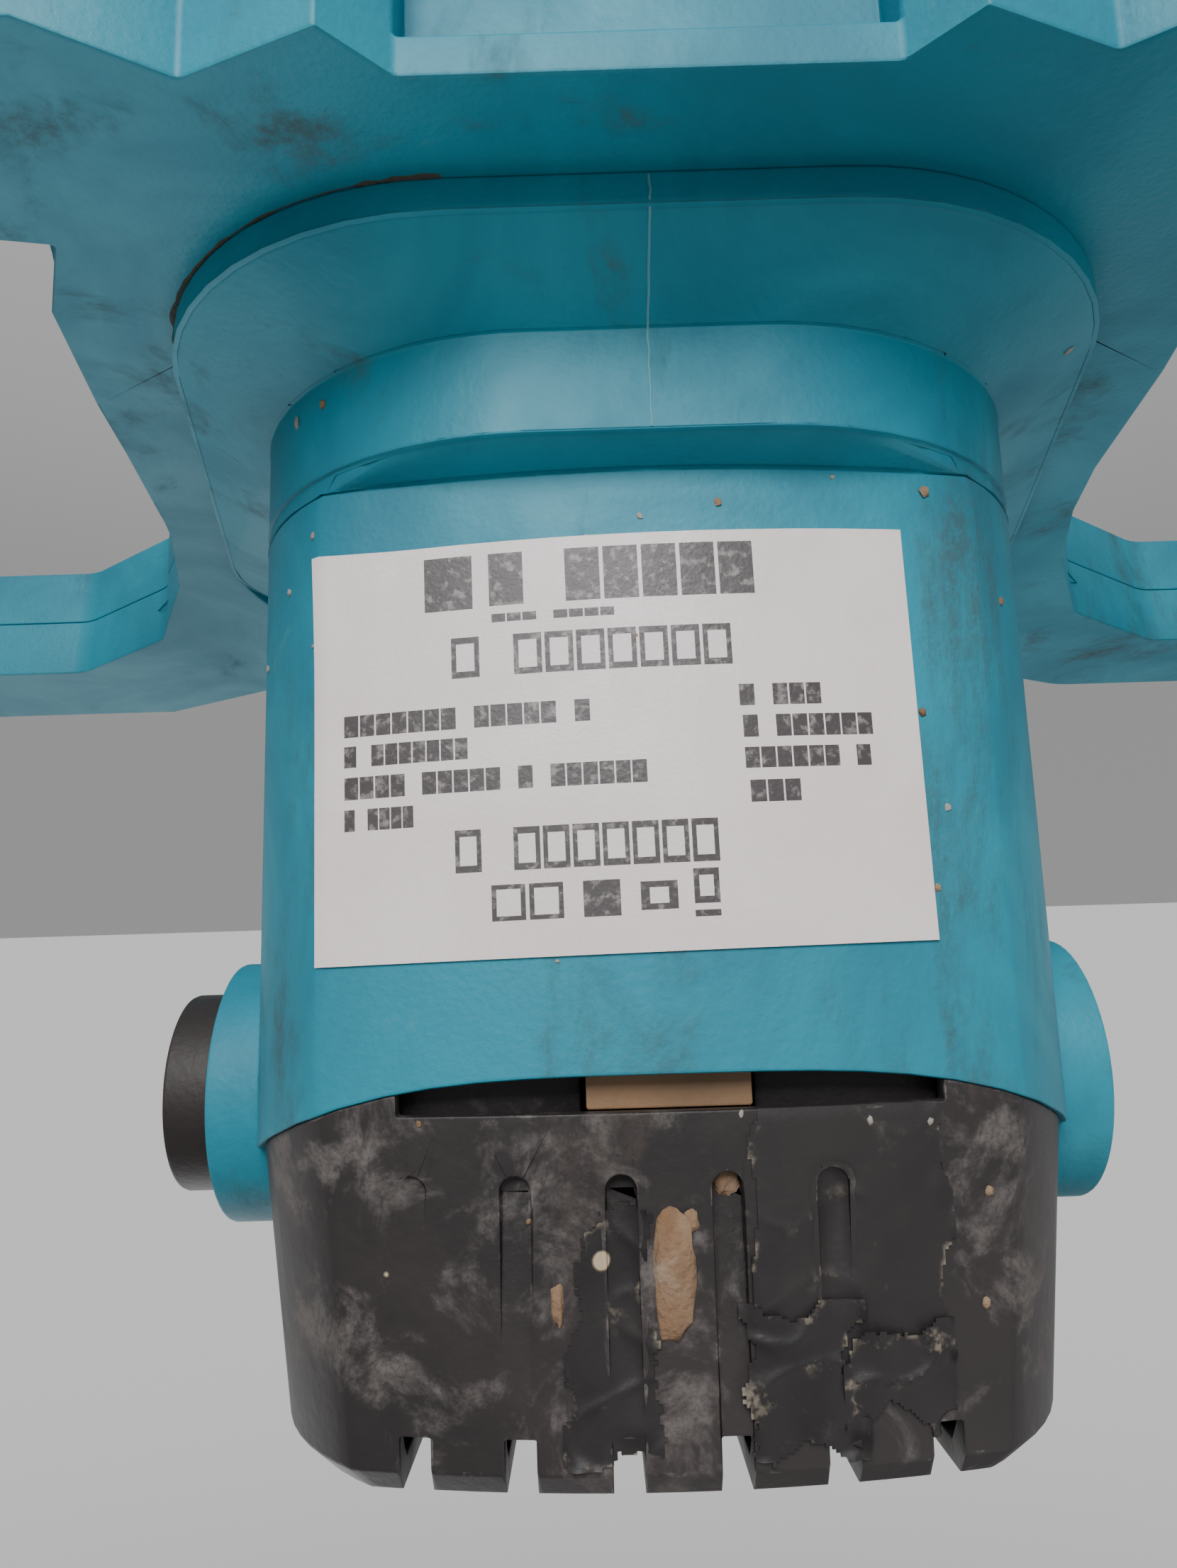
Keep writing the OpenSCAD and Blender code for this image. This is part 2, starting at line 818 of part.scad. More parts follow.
module frame_screws() {
    color(steel)
        in_loops() mirrored_x() for (p = screw_xy) translate([p[0], p[1], 0]) {
            translate([0, 0, 4 - arm_h / 2]) cylinder(r = screw_r, h = arm_h / 2 + 4);
            difference() {
                translate([0, 0, 1.4 - arm_h / 2]) cylinder(r = 3.7, h = 2.6);
                for (a = [0, 90]) translate([0, 0, 1.6 - arm_h / 2]) rotate(a)
                    cube([4.6, 1, 2], center = true);
            }
        }
}

module grip_sleeve() {
    in_loops() translate([grip_x, 0, 0])
        difference() {
            rod_y(grip_r + sleeve_t, sleeve_y, sleeve_y + sleeve_len);
            rod_y(grip_r + fit, sleeve_y - cut, sleeve_y + sleeve_len + cut);
            children();
        }
}

module grip_sleeve_left() {
    color(rubber) grip_sleeve();
}

module grip_sleeve_right() {
    color(rubber) mirror([1, 0, 0]) grip_sleeve()
        translate([-grip_r - 6, trigger_y - 1.5, -trigger_half_h - 1.5])
            cube([12, trigger_len + 3, 2 * trigger_half_h + 3]);
}

// ---------- controls ----------

module trigger() {
    color(dark_plastic)
        in_loops() translate([-trigger_x, 0, 0])
            difference() {
                hull() {
                    translate([-11, trigger_y, -trigger_half_h])
                        cube([9, trigger_len, 2 * trigger_half_h]);
                    translate([-2, trigger_y + 4, 2 - trigger_half_h])
                        cube([2, trigger_len - 8, 2 * trigger_half_h - 4]);
                }
                translate([0, trigger_y + trigger_len / 2, 0]) rod_x(4.4, -12, -4);
            }
}

module trigger_spring() {
    length = switch_x - trigger_x - 4.2;
    color(steel)
        in_loops() translate([-switch_x + 0.1, trigger_y + trigger_len / 2, 0])
            rotate([0, 90, 0]) ring(4, 3.2, length);
}

module switch_body() {
    color("#1f1f20")
        in_loops() translate([-switch_x - switch_w, trigger_y - 2, -7.5])
            cube([switch_w, trigger_len + 16, 15]);
}

module lock_button() {
    color(dark_plastic)
        in_loops() translate([-grip_x, lock_y, 0]) {
            translate([0, 0, 8]) cylinder(r = lock_r, h = 11);
            translate([0, 0, 6.5]) cylinder(r = lock_r + 2, h = 2);
        }
}

module speed_dial() {
    knurls = 18;
    top = arm_h / 2;
    color(dark_plastic)
        in_loops() translate([-dial_xy[0], dial_xy[1], 0]) {
            translate([0, 0, top - 7]) cylinder(r = 5, h = 8);
            translate([0, 0, top + 0.3])
                difference() {
                    cylinder(r = dial_r, h = 5);
                    for (i = [0:knurls - 1]) rotate(i * 360 / knurls)
                        translate([dial_r + 0.5, 0, -cut]) cylinder(r = 1.1, h = 5 + 2 * cut, $fn = 16);
                    translate([-0.5, 2, 4.4]) cube([1, dial_r, 1]);
                }
        }
}

module speed_module() {
    color("#3b6a45")
        in_loops() translate([-dial_xy[0], dial_xy[1], 0]) {
            translate([-17, -7, -9.5]) cube([34, 14, 3]);
            translate([-8, -6, -6.6]) cube([16, 12, 12]);
        }
}

module cord_gland() {
    color(rubber)
        in_loops() translate([-grip_x, gland_y, 0])
            difference() {
                union() {
                    rod_y(gland_r, -6, loop_back - gland_y);
                    rod_y(gland_r + 1.2, -8, -5);
                    translate([0, loop_back - gland_y - 0.01, 0]) rotate([-90, 0, 0])
                        cylinder(r1 = gland_r, r2 = gland_r - 2, h = gland_len - 10);
                }
                rod_y(cord_hole_r, -10, gland_len + cut);
            }
}

// ---------- gear case ----------

module gear_case_cover() {
    color(alu)
        difference() {
            translate([0, 0, z_case + gasket_t])
                linear_extrude(cover_top - z_case - gasket_t) case_outline(case_r);
            translate([0, 0, z_case - cut])
                linear_extrude(z_cover - z_case + cut) case_outline(cavity_r);
            translate([0, 0, z_cover - cut]) cylinder(r = armature_shaft_r + 1.5, h = cover_t + 2);
            translate([0, 0, z_drive_race]) cylinder(r = bearing_drive[1] + fit / 5, h = 20);
            translate([0, gear_gap, z_cover - cut])
                cylinder(r = bearing_lay[1] + fit / 5, h = bearing_lay[2] + cut);
        }
}

module case_gasket() {
    color("#6b5a3a")
        translate([0, 0, z_case])
            linear_extrude(gasket_t)
                difference() {
                    case_outline(case_r);
                    case_outline(cavity_r);
                }
}

module gear_case() {
    bore = bearing_spindle[1] + fit / 5;
    barrel_r = bearing_spindle[1] + 6;
    color(alu)
        difference() {
            union() {
                translate([0, 0, z_case - case_flange_t]) linear_extrude(case_flange_t)
                    hull() {
                        case_outline(case_r);
                        at_bolts() circle(8);
                    }
                translate([0, 0, z_lay_bottom - 4])
                    linear_extrude(z_case - z_lay_bottom) case_outline(case_r);
                translate([0, 0, z_seal]) cylinder(r = barrel_r, h = z_case - z_seal - 2);
                for (a = [180, 225, 270, 315, 0]) rotate(a)
                    translate([barrel_r - 1, -2, z_seal + 14])
                        cube([case_r - barrel_r + 3, 4, z_case - z_seal - 16]);
            }
            translate([0, 0, z_cavity]) linear_extrude(frame_h) case_outline(cavity_r);
            translate([0, gear_gap, z_lay_bottom])
                cylinder(r = bearing_lay[1] + fit / 5, h = frame_h);
            translate([0, 0, z_seal - cut])
                cylinder(r = bore, h = z_spindle_top + bearing_spindle[2] - z_seal + cut);
            translate([0, 0, z_cavity - 20]) cylinder(r = bearing_spindle[1] - 6, h = 40);
            at_bolts() translate([0, 0, z_case - 40]) cylinder(r = bolt_r + 0.3, h = 50);
            at_bolts() translate([0, 0, z_case - case_flange_t - 30]) cylinder(r = 5.2, h = 30);
        }
}

module case_bolts() {
    head_z = z_case - case_flange_t;
    color(steel)
        at_bolts() {
            translate([0, 0, head_z]) cylinder(r = bolt_r, h = z_frame + 6 - head_z);
            difference() {
                translate([0, 0, head_z - 5]) cylinder(r = 4.5, h = 5);
                translate([0, 0, head_z - 6]) cylinder(r = 2.4, h = 3.5, $fn = 6);
            }
        }
}

// ---------- armature ----------

module armature_shaft() {
    tip = z_lay_gear - 1;
    pinion_h = z_drive_race - 3 - tip;
    color(steel) {
        translate([0, 0, tip]) gear(first_module, pinion_teeth, shift, pinion_h, 90);
        translate([0, 0, tip + pinion_h - 0.01])
            cylinder(r = armature_shaft_r, h = z_top_race - tip - pinion_h);
        translate([0, 0, z_top_race - 0.02]) cylinder(r = bearing_end[0], h = bearing_end[2] + 2);
    }
}

module armature_core() {
    slots = 12;
    color("#8a8c90")
        difference() {
            translate([0, 0, z_stator]) cylinder(r = armature_r, h = stator_len);
            translate([0, 0, z_stator - cut])
                cylinder(r = armature_shaft_r + fit / 5, h = stator_len + 2 * cut);
            for (i = [0:slots - 1]) rotate(i * 360 / slots)
                translate([armature_r - 9, -1.6, z_stator - cut])
                    cube([10, 3.2, stator_len + 2 * cut]);
        }
}

module armature_windings() {
    slots = 12;
    color(copper)
        difference() {
            union() {
                translate([0, 0, z_stator - 6]) cylinder(r = armature_r - 3, h = 5.9);
                translate([0, 0, z_stator_top + 0.1]) cylinder(r = armature_r - 3, h = 5);
                for (i = [0:slots - 1]) rotate(i * 360 / slots)
                    translate([armature_r - 8.5, -1.4, z_stator - 3])
                        cube([7, 2.8, stator_len + 6]);
            }
            translate([0, 0, z_stator - 10])
                cylinder(r = armature_shaft_r + fit / 5, h = stator_len + 20);
        }
}

module commutator() {
    bars = 24;
    color("#c07a4a")
        translate([0, 0, z_brush - commutator_len / 2])
            difference() {
                ring(commutator_r, armature_shaft_r + fit / 5, commutator_len);
                for (i = [0:bars - 1]) rotate(i * 360 / bars)
                    translate([commutator_r - 0.8, -0.3, -cut]) cube([2, 0.6, commutator_len + 2]);
            }
}

module cooling_fan() {
    blade_h = 9;
    z_fan = z_frame + 5;
    color("#d8d4c8")
        translate([0, 0, z_fan]) {
            ring(armature_shaft_r + 4, armature_shaft_r + fit / 5, blade_h + 3);
            ring(fan_r, armature_shaft_r + 3, 2);
            for (i = [0:fan_blades - 1]) rotate(i * 360 / fan_blades)
                translate([armature_shaft_r + 3, -0.9, 1.5])
                    cube([fan_r - armature_shaft_r - 3.6, 1.8, blade_h]);
        }
}

module at_armature_races() {
    translate([0, 0, z_drive_race]) children(0);
    translate([0, 0, z_top_race]) children(1);
}

module armature_outer_races() {
    color(steel) at_armature_races() { outer_race(bearing_drive); outer_race(bearing_end); }
}

module armature_inner_races() {
    color(steel) at_armature_races() { inner_race(bearing_drive); inner_race(bearing_end); }
}

module armature_balls() {
    color("#dfe2e6") at_armature_races() { race_balls(bearing_drive); race_balls(bearing_end); }
}

// ---------- layshaft ----------

module on_layshaft() {
    translate([0, gear_gap, 0]) children();
}

module lay_shaft() {
    pinion_h = z_lay_gear - z_lay_pinion - 1;
    color(steel) on_layshaft() {
        translate([0, 0, z_lay_bottom]) cylinder(r = bearing_lay[0], h = z_lay_top - z_lay_bottom + 7);
        translate([0, 0, z_lay_bottom + bearing_lay[2] + 0.2])
            cylinder(r = 5.6, h = z_lay_top - z_lay_bottom - bearing_lay[2] - 0.4);
        translate([0, 0, z_lay_pinion])
            gear(second_module, lay_pinion_teeth, shift, pinion_h, -90);
    }
}

module lay_gear() {
    color("#7f8388") on_layshaft()
        difference() {
            translate([0, 0, z_lay_gear])
                gear(first_module, lay_gear_teeth, -shift, lay_gear_t, -90, true);
            translate([0, 0, z_lay_gear - cut]) cylinder(r = 5.62, h = lay_gear_t + 2 * cut);
            translate([0, 0, z_lay_gear + lay_gear_t - 2.5]) ring(19, 10, 5);
        }
}

module at_lay_races() {
    on_layshaft() {
        translate([0, 0, z_lay_bottom]) children(0);
        translate([0, 0, z_lay_top]) children(0);
    }
}

module lay_outer_races() { color(steel) at_lay_races() outer_race(bearing_lay); }
module lay_inner_races() { color(steel) at_lay_races() inner_race(bearing_lay); }
module lay_balls() { color("#dfe2e6") at_lay_races() race_balls(bearing_lay); }

// ---------- spindle ----------

module spindle() {
    shaft = bearing_spindle[0];
    flat = nose_r - 3;
    top = z_spindle_gear + spindle_gear_t + 1.6;
    color(steel)
        difference() {
            union() {
                translate([0, 0, z_spindle_low - 2]) cylinder(r = shaft, h = z_spindle_gear - z_spindle_low + 2);
                translate([0, 0, z_spindle_gear - 0.01]) cylinder(r = shaft - 1, h = top - z_spindle_gear);
                translate([0, 0, z_nose]) cylinder(r = nose_r, h = z_spindle_low - 1.9 - z_nose);
            }
            translate([0, 0, z_nose - cut]) cylinder(r = thread_r + fit, h = socket_depth + cut);
            for (s = [-1, 1]) translate([s * (flat + 10) - 10, -nose_r, z_nose - cut])
                cube([20, 2 * nose_r, 11]);
            spindle_key_slot(fit);
            translate([0, 0, top - 1.5]) ring(shaft, shaft - 1.8, 1.1);
        }
}

module spindle_key_slot(grow) {
    translate([bearing_spindle[0] - 3.4 - grow, -2.5 - grow, z_spindle_gear + 2 - grow])
        cube([4.4 + 2 * grow, 5 + 2 * grow, spindle_gear_t - 4 + 2 * grow]);
}

module spindle_key() {
    color(steel) spindle_key_slot(0);
}

module spindle_gear() {
    color("#7f8388")
        difference() {
            translate([0, 0, z_spindle_gear])
                gear(second_module, spindle_gear_teeth, -shift, spindle_gear_t, 90, true);
            translate([0, 0, z_spindle_gear - cut])
                cylinder(r = bearing_spindle[0] - 1 + fit / 5, h = spindle_gear_t + 2 * cut);
            spindle_key_slot(fit);
            translate([0, 0, z_spindle_gear - cut]) ring(18, 13, 2 + cut);
        }
}

module at_spindle_races() {
    translate([0, 0, z_spindle_top]) children(0);
    translate([0, 0, z_spindle_low]) children(0);
}

module spindle_outer_races() { color(steel) at_spindle_races() outer_race(bearing_spindle); }
module spindle_inner_races() { color(steel) at_spindle_races() inner_race(bearing_spindle); }
module spindle_balls() { color("#dfe2e6") at_spindle_races() race_balls(bearing_spindle); }

module spindle_spacer() {
    low = z_spindle_low + bearing_spindle[2];
    color("#9a9da1")
        translate([0, 0, low + 0.02])
            ring(bearing_spindle[0] + 3, bearing_spindle[0] + fit, z_spindle_top - low - 0.04);
}

// Snap ring that keeps the gear on the spindle
module spindle_circlip() {
    shaft = bearing_spindle[0];
    color("#55585c")
        translate([0, 0, z_spindle_gear + spindle_gear_t + 0.12])
            ring(shaft + 2, shaft - 1.8 + fit, 1);
}

module spindle_seal() {
    color(rubber)
        translate([0, 0, z_seal]) ring(bearing_spindle[1] - 0.02, nose_r + fit, seal_t);
}

// ---------- paddle ----------

z_rod = z_nose - 12;
z_joint_nut = z_nose - upper_rod_len;
z_paddle = z_joint_nut - lower_rod_len;
nut_h = 26;
hex_r = 12.7;
ring_h = 8;

module paddle_upper_rod() {
    color("#c8842c")
        difference() {
            union() {
                translate([0, 0, z_nose - 0.1]) cylinder(r = thread_r, h = socket_depth - 1);
                translate([0, 0, z_rod]) cylinder(r = hex_r, h = z_nose - z_rod - 0.1, $fn = 6);
                translate([0, 0, z_joint_nut]) cylinder(r = rod_r, h = z_rod - z_joint_nut + 0.01);
                translate([0, 0, z_joint_nut]) cylinder(r = hex_r, h = nut_h, $fn = 6);
            }
            translate([0, 0, z_joint_nut - cut]) cylinder(r = thread_r - 1 + fit, h = nut_h - 4 + cut);
        }
}

module paddle_lower_rod() {
    color("#c8842c") {
        translate([0, 0, z_joint_nut - 0.11]) cylinder(r = thread_r - 1, h = nut_h - 6);
        translate([0, 0, z_joint_nut - 10]) cylinder(r = hex_r, h = 9.9, $fn = 6);
        translate([0, 0, z_paddle]) cylinder(r = rod_r, h = z_joint_nut - z_paddle - 9.9);
    }
}

// How far out a ribbon runs, from the ring's radius at t = 0 in to the rod at t = 1
function ribbon_r(t) =
    let (inner = rod_r + ribbon_bar[1] / 2 - 0.5, outer = paddle_r - ribbon_bar[1] / 2)
    t < 0.6 ? outer : inner + (outer - inner) * (0.5 + 0.5 * cos(180 * (t - 0.6) / 0.4));

module ribbon() {
    steps = 24;
    w = ribbon_bar[0] / 2;
    d = ribbon_bar[1] / 2;
    last = 4 * steps;
    points = [for (i = [0:steps]) let (t = i / steps, r = ribbon_r(t), a = ribbon_turn * t)
        each [for (c = [[-d, -w], [d, -w], [d, w], [-d, w]])
            [(r + c[0]) * cos(a) - 0.75 * c[1] * sin(a), (r + c[0]) * sin(a) + 0.75 * c[1] * cos(a),
                z_paddle + ring_h + ribbon_h * t - 0.75 * c[1] - 3]]];
    faces = concat(
        [[0, 1, 2], [0, 2, 3]],
        [for (i = [0:steps - 1], k = [0:3])
            let (a = 4 * i + k, b = 4 * i + (k + 1) % 4)
            each [[a, a + 4, b + 4], [a, b + 4, b]]],
        [[last + 3, last + 2, last + 1], [last + 3, last + 1, last]]
    );
    polyhedron(points, faces, convexity = 6);
}

module paddle_ribbons() {
    color("#c8842c")
        for (i = [0:ribbon_count - 1]) rotate(i * 360 / ribbon_count) ribbon();
}

// Bottom ring and the spokes that tie it to the rod
module paddle_ring() {
    color("#c8842c") {
        translate([0, 0, z_paddle]) ring(paddle_r, paddle_r - ribbon_bar[1], ring_h);
        for (i = [0:ribbon_count - 1]) rotate(i * 360 / ribbon_count)
            translate([rod_r + 0.02, -2.5, z_paddle]) cube([paddle_r - rod_r - 3, 5, ring_h]);
    }
}

motor_housing();
top_cap();
rating_label();
brush_cap_left();
brush_cap_right();
brush_holder_left();
brush_holder_right();
carbon_brush_left();
carbon_brush_right();
brush_spring_left();
brush_spring_right();
commutator_bracket();
stator_core();
field_coils();
fan_baffle();
cap_screws();
frame_upper_shell();
frame_lower_shell();
grip_sleeve_left();
grip_sleeve_right();
trigger();
trigger_spring();
lock_button();
speed_dial();
switch_body();
speed_module();
cord_gland();
frame_screws();
gear_case_cover();
case_gasket();
gear_case();
case_bolts();
armature_shaft();
armature_core();
armature_windings();
commutator();
cooling_fan();
armature_outer_races();
armature_inner_races();
armature_balls();
lay_shaft();
lay_gear();
lay_outer_races();
lay_inner_races();
lay_balls();
spindle();
spindle_gear();
spindle_key();
spindle_outer_races();
spindle_inner_races();
spindle_balls();
spindle_spacer();
spindle_circlip();
spindle_seal();
paddle_upper_rod();
paddle_lower_rod();
paddle_ribbons();
paddle_ring();
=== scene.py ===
"""Looks of a handheld mortar mixer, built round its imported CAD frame."""

import json
import logging
import math
import random
from collections.abc import Callable
from dataclasses import dataclass, field

import bpy
from mathutils import Matrix, Vector, noise
from mathutils.bvhtree import BVHTree


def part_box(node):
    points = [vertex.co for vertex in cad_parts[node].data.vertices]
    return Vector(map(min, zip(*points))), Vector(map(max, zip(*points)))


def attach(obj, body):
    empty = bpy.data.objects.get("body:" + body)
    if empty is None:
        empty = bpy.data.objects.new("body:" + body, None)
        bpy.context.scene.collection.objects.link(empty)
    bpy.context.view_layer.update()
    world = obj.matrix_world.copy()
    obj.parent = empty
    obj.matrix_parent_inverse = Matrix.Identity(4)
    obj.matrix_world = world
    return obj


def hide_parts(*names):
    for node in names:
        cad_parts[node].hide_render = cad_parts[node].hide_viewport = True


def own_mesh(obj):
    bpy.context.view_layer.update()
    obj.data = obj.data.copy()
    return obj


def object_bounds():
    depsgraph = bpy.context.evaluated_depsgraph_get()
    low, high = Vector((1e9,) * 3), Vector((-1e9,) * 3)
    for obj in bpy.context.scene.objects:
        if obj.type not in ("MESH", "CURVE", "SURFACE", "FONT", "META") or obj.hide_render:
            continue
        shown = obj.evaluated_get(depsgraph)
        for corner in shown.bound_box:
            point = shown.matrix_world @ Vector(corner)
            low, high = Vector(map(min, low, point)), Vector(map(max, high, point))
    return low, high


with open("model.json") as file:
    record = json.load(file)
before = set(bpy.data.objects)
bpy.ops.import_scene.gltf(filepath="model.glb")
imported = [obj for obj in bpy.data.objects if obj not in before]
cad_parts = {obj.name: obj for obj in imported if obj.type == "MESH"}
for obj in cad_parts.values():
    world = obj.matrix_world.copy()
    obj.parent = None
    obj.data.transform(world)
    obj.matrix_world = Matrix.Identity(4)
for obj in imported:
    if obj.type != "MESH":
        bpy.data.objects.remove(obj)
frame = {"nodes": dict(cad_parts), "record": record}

LOG = logging.getLogger("mixer")
CAD_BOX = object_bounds()
MM = 0.001

Colour = tuple[float, float, float]


# ---------- shader groups ----------


class NodeSheet:
    """Adds and links nodes in one node tree."""

    def __init__(self, tree: bpy.types.NodeTree) -> None:
        """Wraps a tree.

        Args:
            tree: the node tree to draw in.
        """
        self.tree = tree

    def node(self, kind: str, settings: dict | None = None, **inputs: object) -> bpy.types.Node:
        """Adds a node and fills its inputs.

        Args:
            kind: the node's type name.
            settings: attributes to set on the node before its inputs.
            inputs: values or output sockets by input name, with _ for a space.

        Returns:
            The new node.
        """
        made = self.tree.nodes.new(kind)
        for key, value in (settings or {}).items():
            setattr(made, key, value)
        for key, value in inputs.items():
            self.feed(made, key.replace("_", " "), value)
        return made

    def feed(self, node: bpy.types.Node, name: str | int, value: object) -> None:
        """Sets or links one input of a node.

        Args:
            node: the node to feed.
            name: the input's name or number.
            value: a number, vector, colour or output socket.
        """
        socket = node.inputs[name]
        if isinstance(value, bpy.types.NodeSocket):
            self.tree.links.new(value, socket)
        elif isinstance(value, tuple) and len(value) == 3 and len(socket.default_value) == 4:
            socket.default_value = (*value, 1.0)
        else:
            socket.default_value = value

    def math(self, operation: str, first: object, second: object = 0.0,
             clamp: bool = False) -> object:
        """Adds a Math node.

        Args:
            operation: the Math node's operation.
            first: its first value or socket.
            second: its second value or socket.
            clamp: whether the result is kept within 0 and 1.

        Returns:
            The node's output socket.
        """
        made = self.tree.nodes.new("ShaderNodeMath")
        made.operation = operation
        made.use_clamp = clamp
        self.feed(made, 0, first)
        if operation not in ("ABSOLUTE", "FLOOR", "FRACT", "SQRT", "SINE"):
            self.feed(made, 1, second)
        return made.outputs[0]

    def noise(self, vector: object, scale: object, detail: float = 2.0, rough: float = 0.5,
              warp: float = 0.0) -> object:
        """Adds a Noise Texture and returns its value from 0 to 1.

        Args:
            vector: the coordinates socket.
            scale: features per metre.
            detail: octaves of detail.
            rough: roughness of the octaves.
            warp: distortion of the pattern.

        Returns:
            The noise's value socket.
        """
        made = self.node("ShaderNodeTexNoise", Vector=vector, Scale=scale, Detail=detail,
                         Roughness=rough, Distortion=warp)
        return made.outputs[0]

    def ramp(self, value: object, low: object, high: object, to_low: object = 0.0,
             to_high: object = 1.0, smooth: bool = True) -> object:
        """Maps a value from one range to another, clamped.

        Args:
            value: the socket to map.
            low: where the result is to_low.
            high: where the result is to_high.
            to_low: result at low.
            to_high: result at high.
            smooth: whether the change is eased.

        Returns:
            The mapped value socket.
        """
        made = self.tree.nodes.new("ShaderNodeMapRange")
        made.interpolation_type = "SMOOTHSTEP" if smooth else "LINEAR"
        for i, v in enumerate((value, low, high, to_low, to_high)):
            self.feed(made, i, v)
        return made.outputs[0]

    def mix(self, factor: object, first: object, second: object) -> object:
        """Mixes two colours.

        Args:
            factor: the share of the second colour.
            first: colour or socket.
            second: colour or socket.

        Returns:
            The mixed colour socket.
        """
        made = self.tree.nodes.new("ShaderNodeMix")
        made.data_type = "RGBA"
        self.feed(made, 0, factor)
        self.feed(made, 6, first)
        self.feed(made, 7, second)
        return made.outputs[2]


class GroupSheet(NodeSheet):
    """A shader node group with named inputs and outputs."""

    def __init__(self, name: str, inputs: dict[str, tuple[str, object]],
                 outputs: dict[str, str]) -> None:
        """Makes the group and its sockets.

        Args:
            name: the group's name.
            inputs: kind and default of each input by name.
            outputs: kind of each output by name.
        """
        super().__init__(bpy.data.node_groups.new(name, "ShaderNodeTree"))
        kinds = {"float": "NodeSocketFloat", "vector": "NodeSocketVector", "colour": "NodeSocketColor"}
        for title, (kind, default) in inputs.items():
            socket = self.tree.interface.new_socket(title, in_out="INPUT", socket_type=kinds[kind])
            if default is not None:
                socket.default_value = default
        for title, kind in outputs.items():
            self.tree.interface.new_socket(title, in_out="OUTPUT", socket_type=kinds[kind])
        self.inputs = self.tree.nodes.new("NodeGroupInput").outputs
        self.exit = self.tree.nodes.new("NodeGroupOutput")

    def put(self, name: str, value: object) -> None:
        """Links a value to one of the group's outputs.

        Args:
            name: the output's name.
            value: the socket that feeds it.
        """
        self.tree.links.new(value, self.exit.inputs[name])


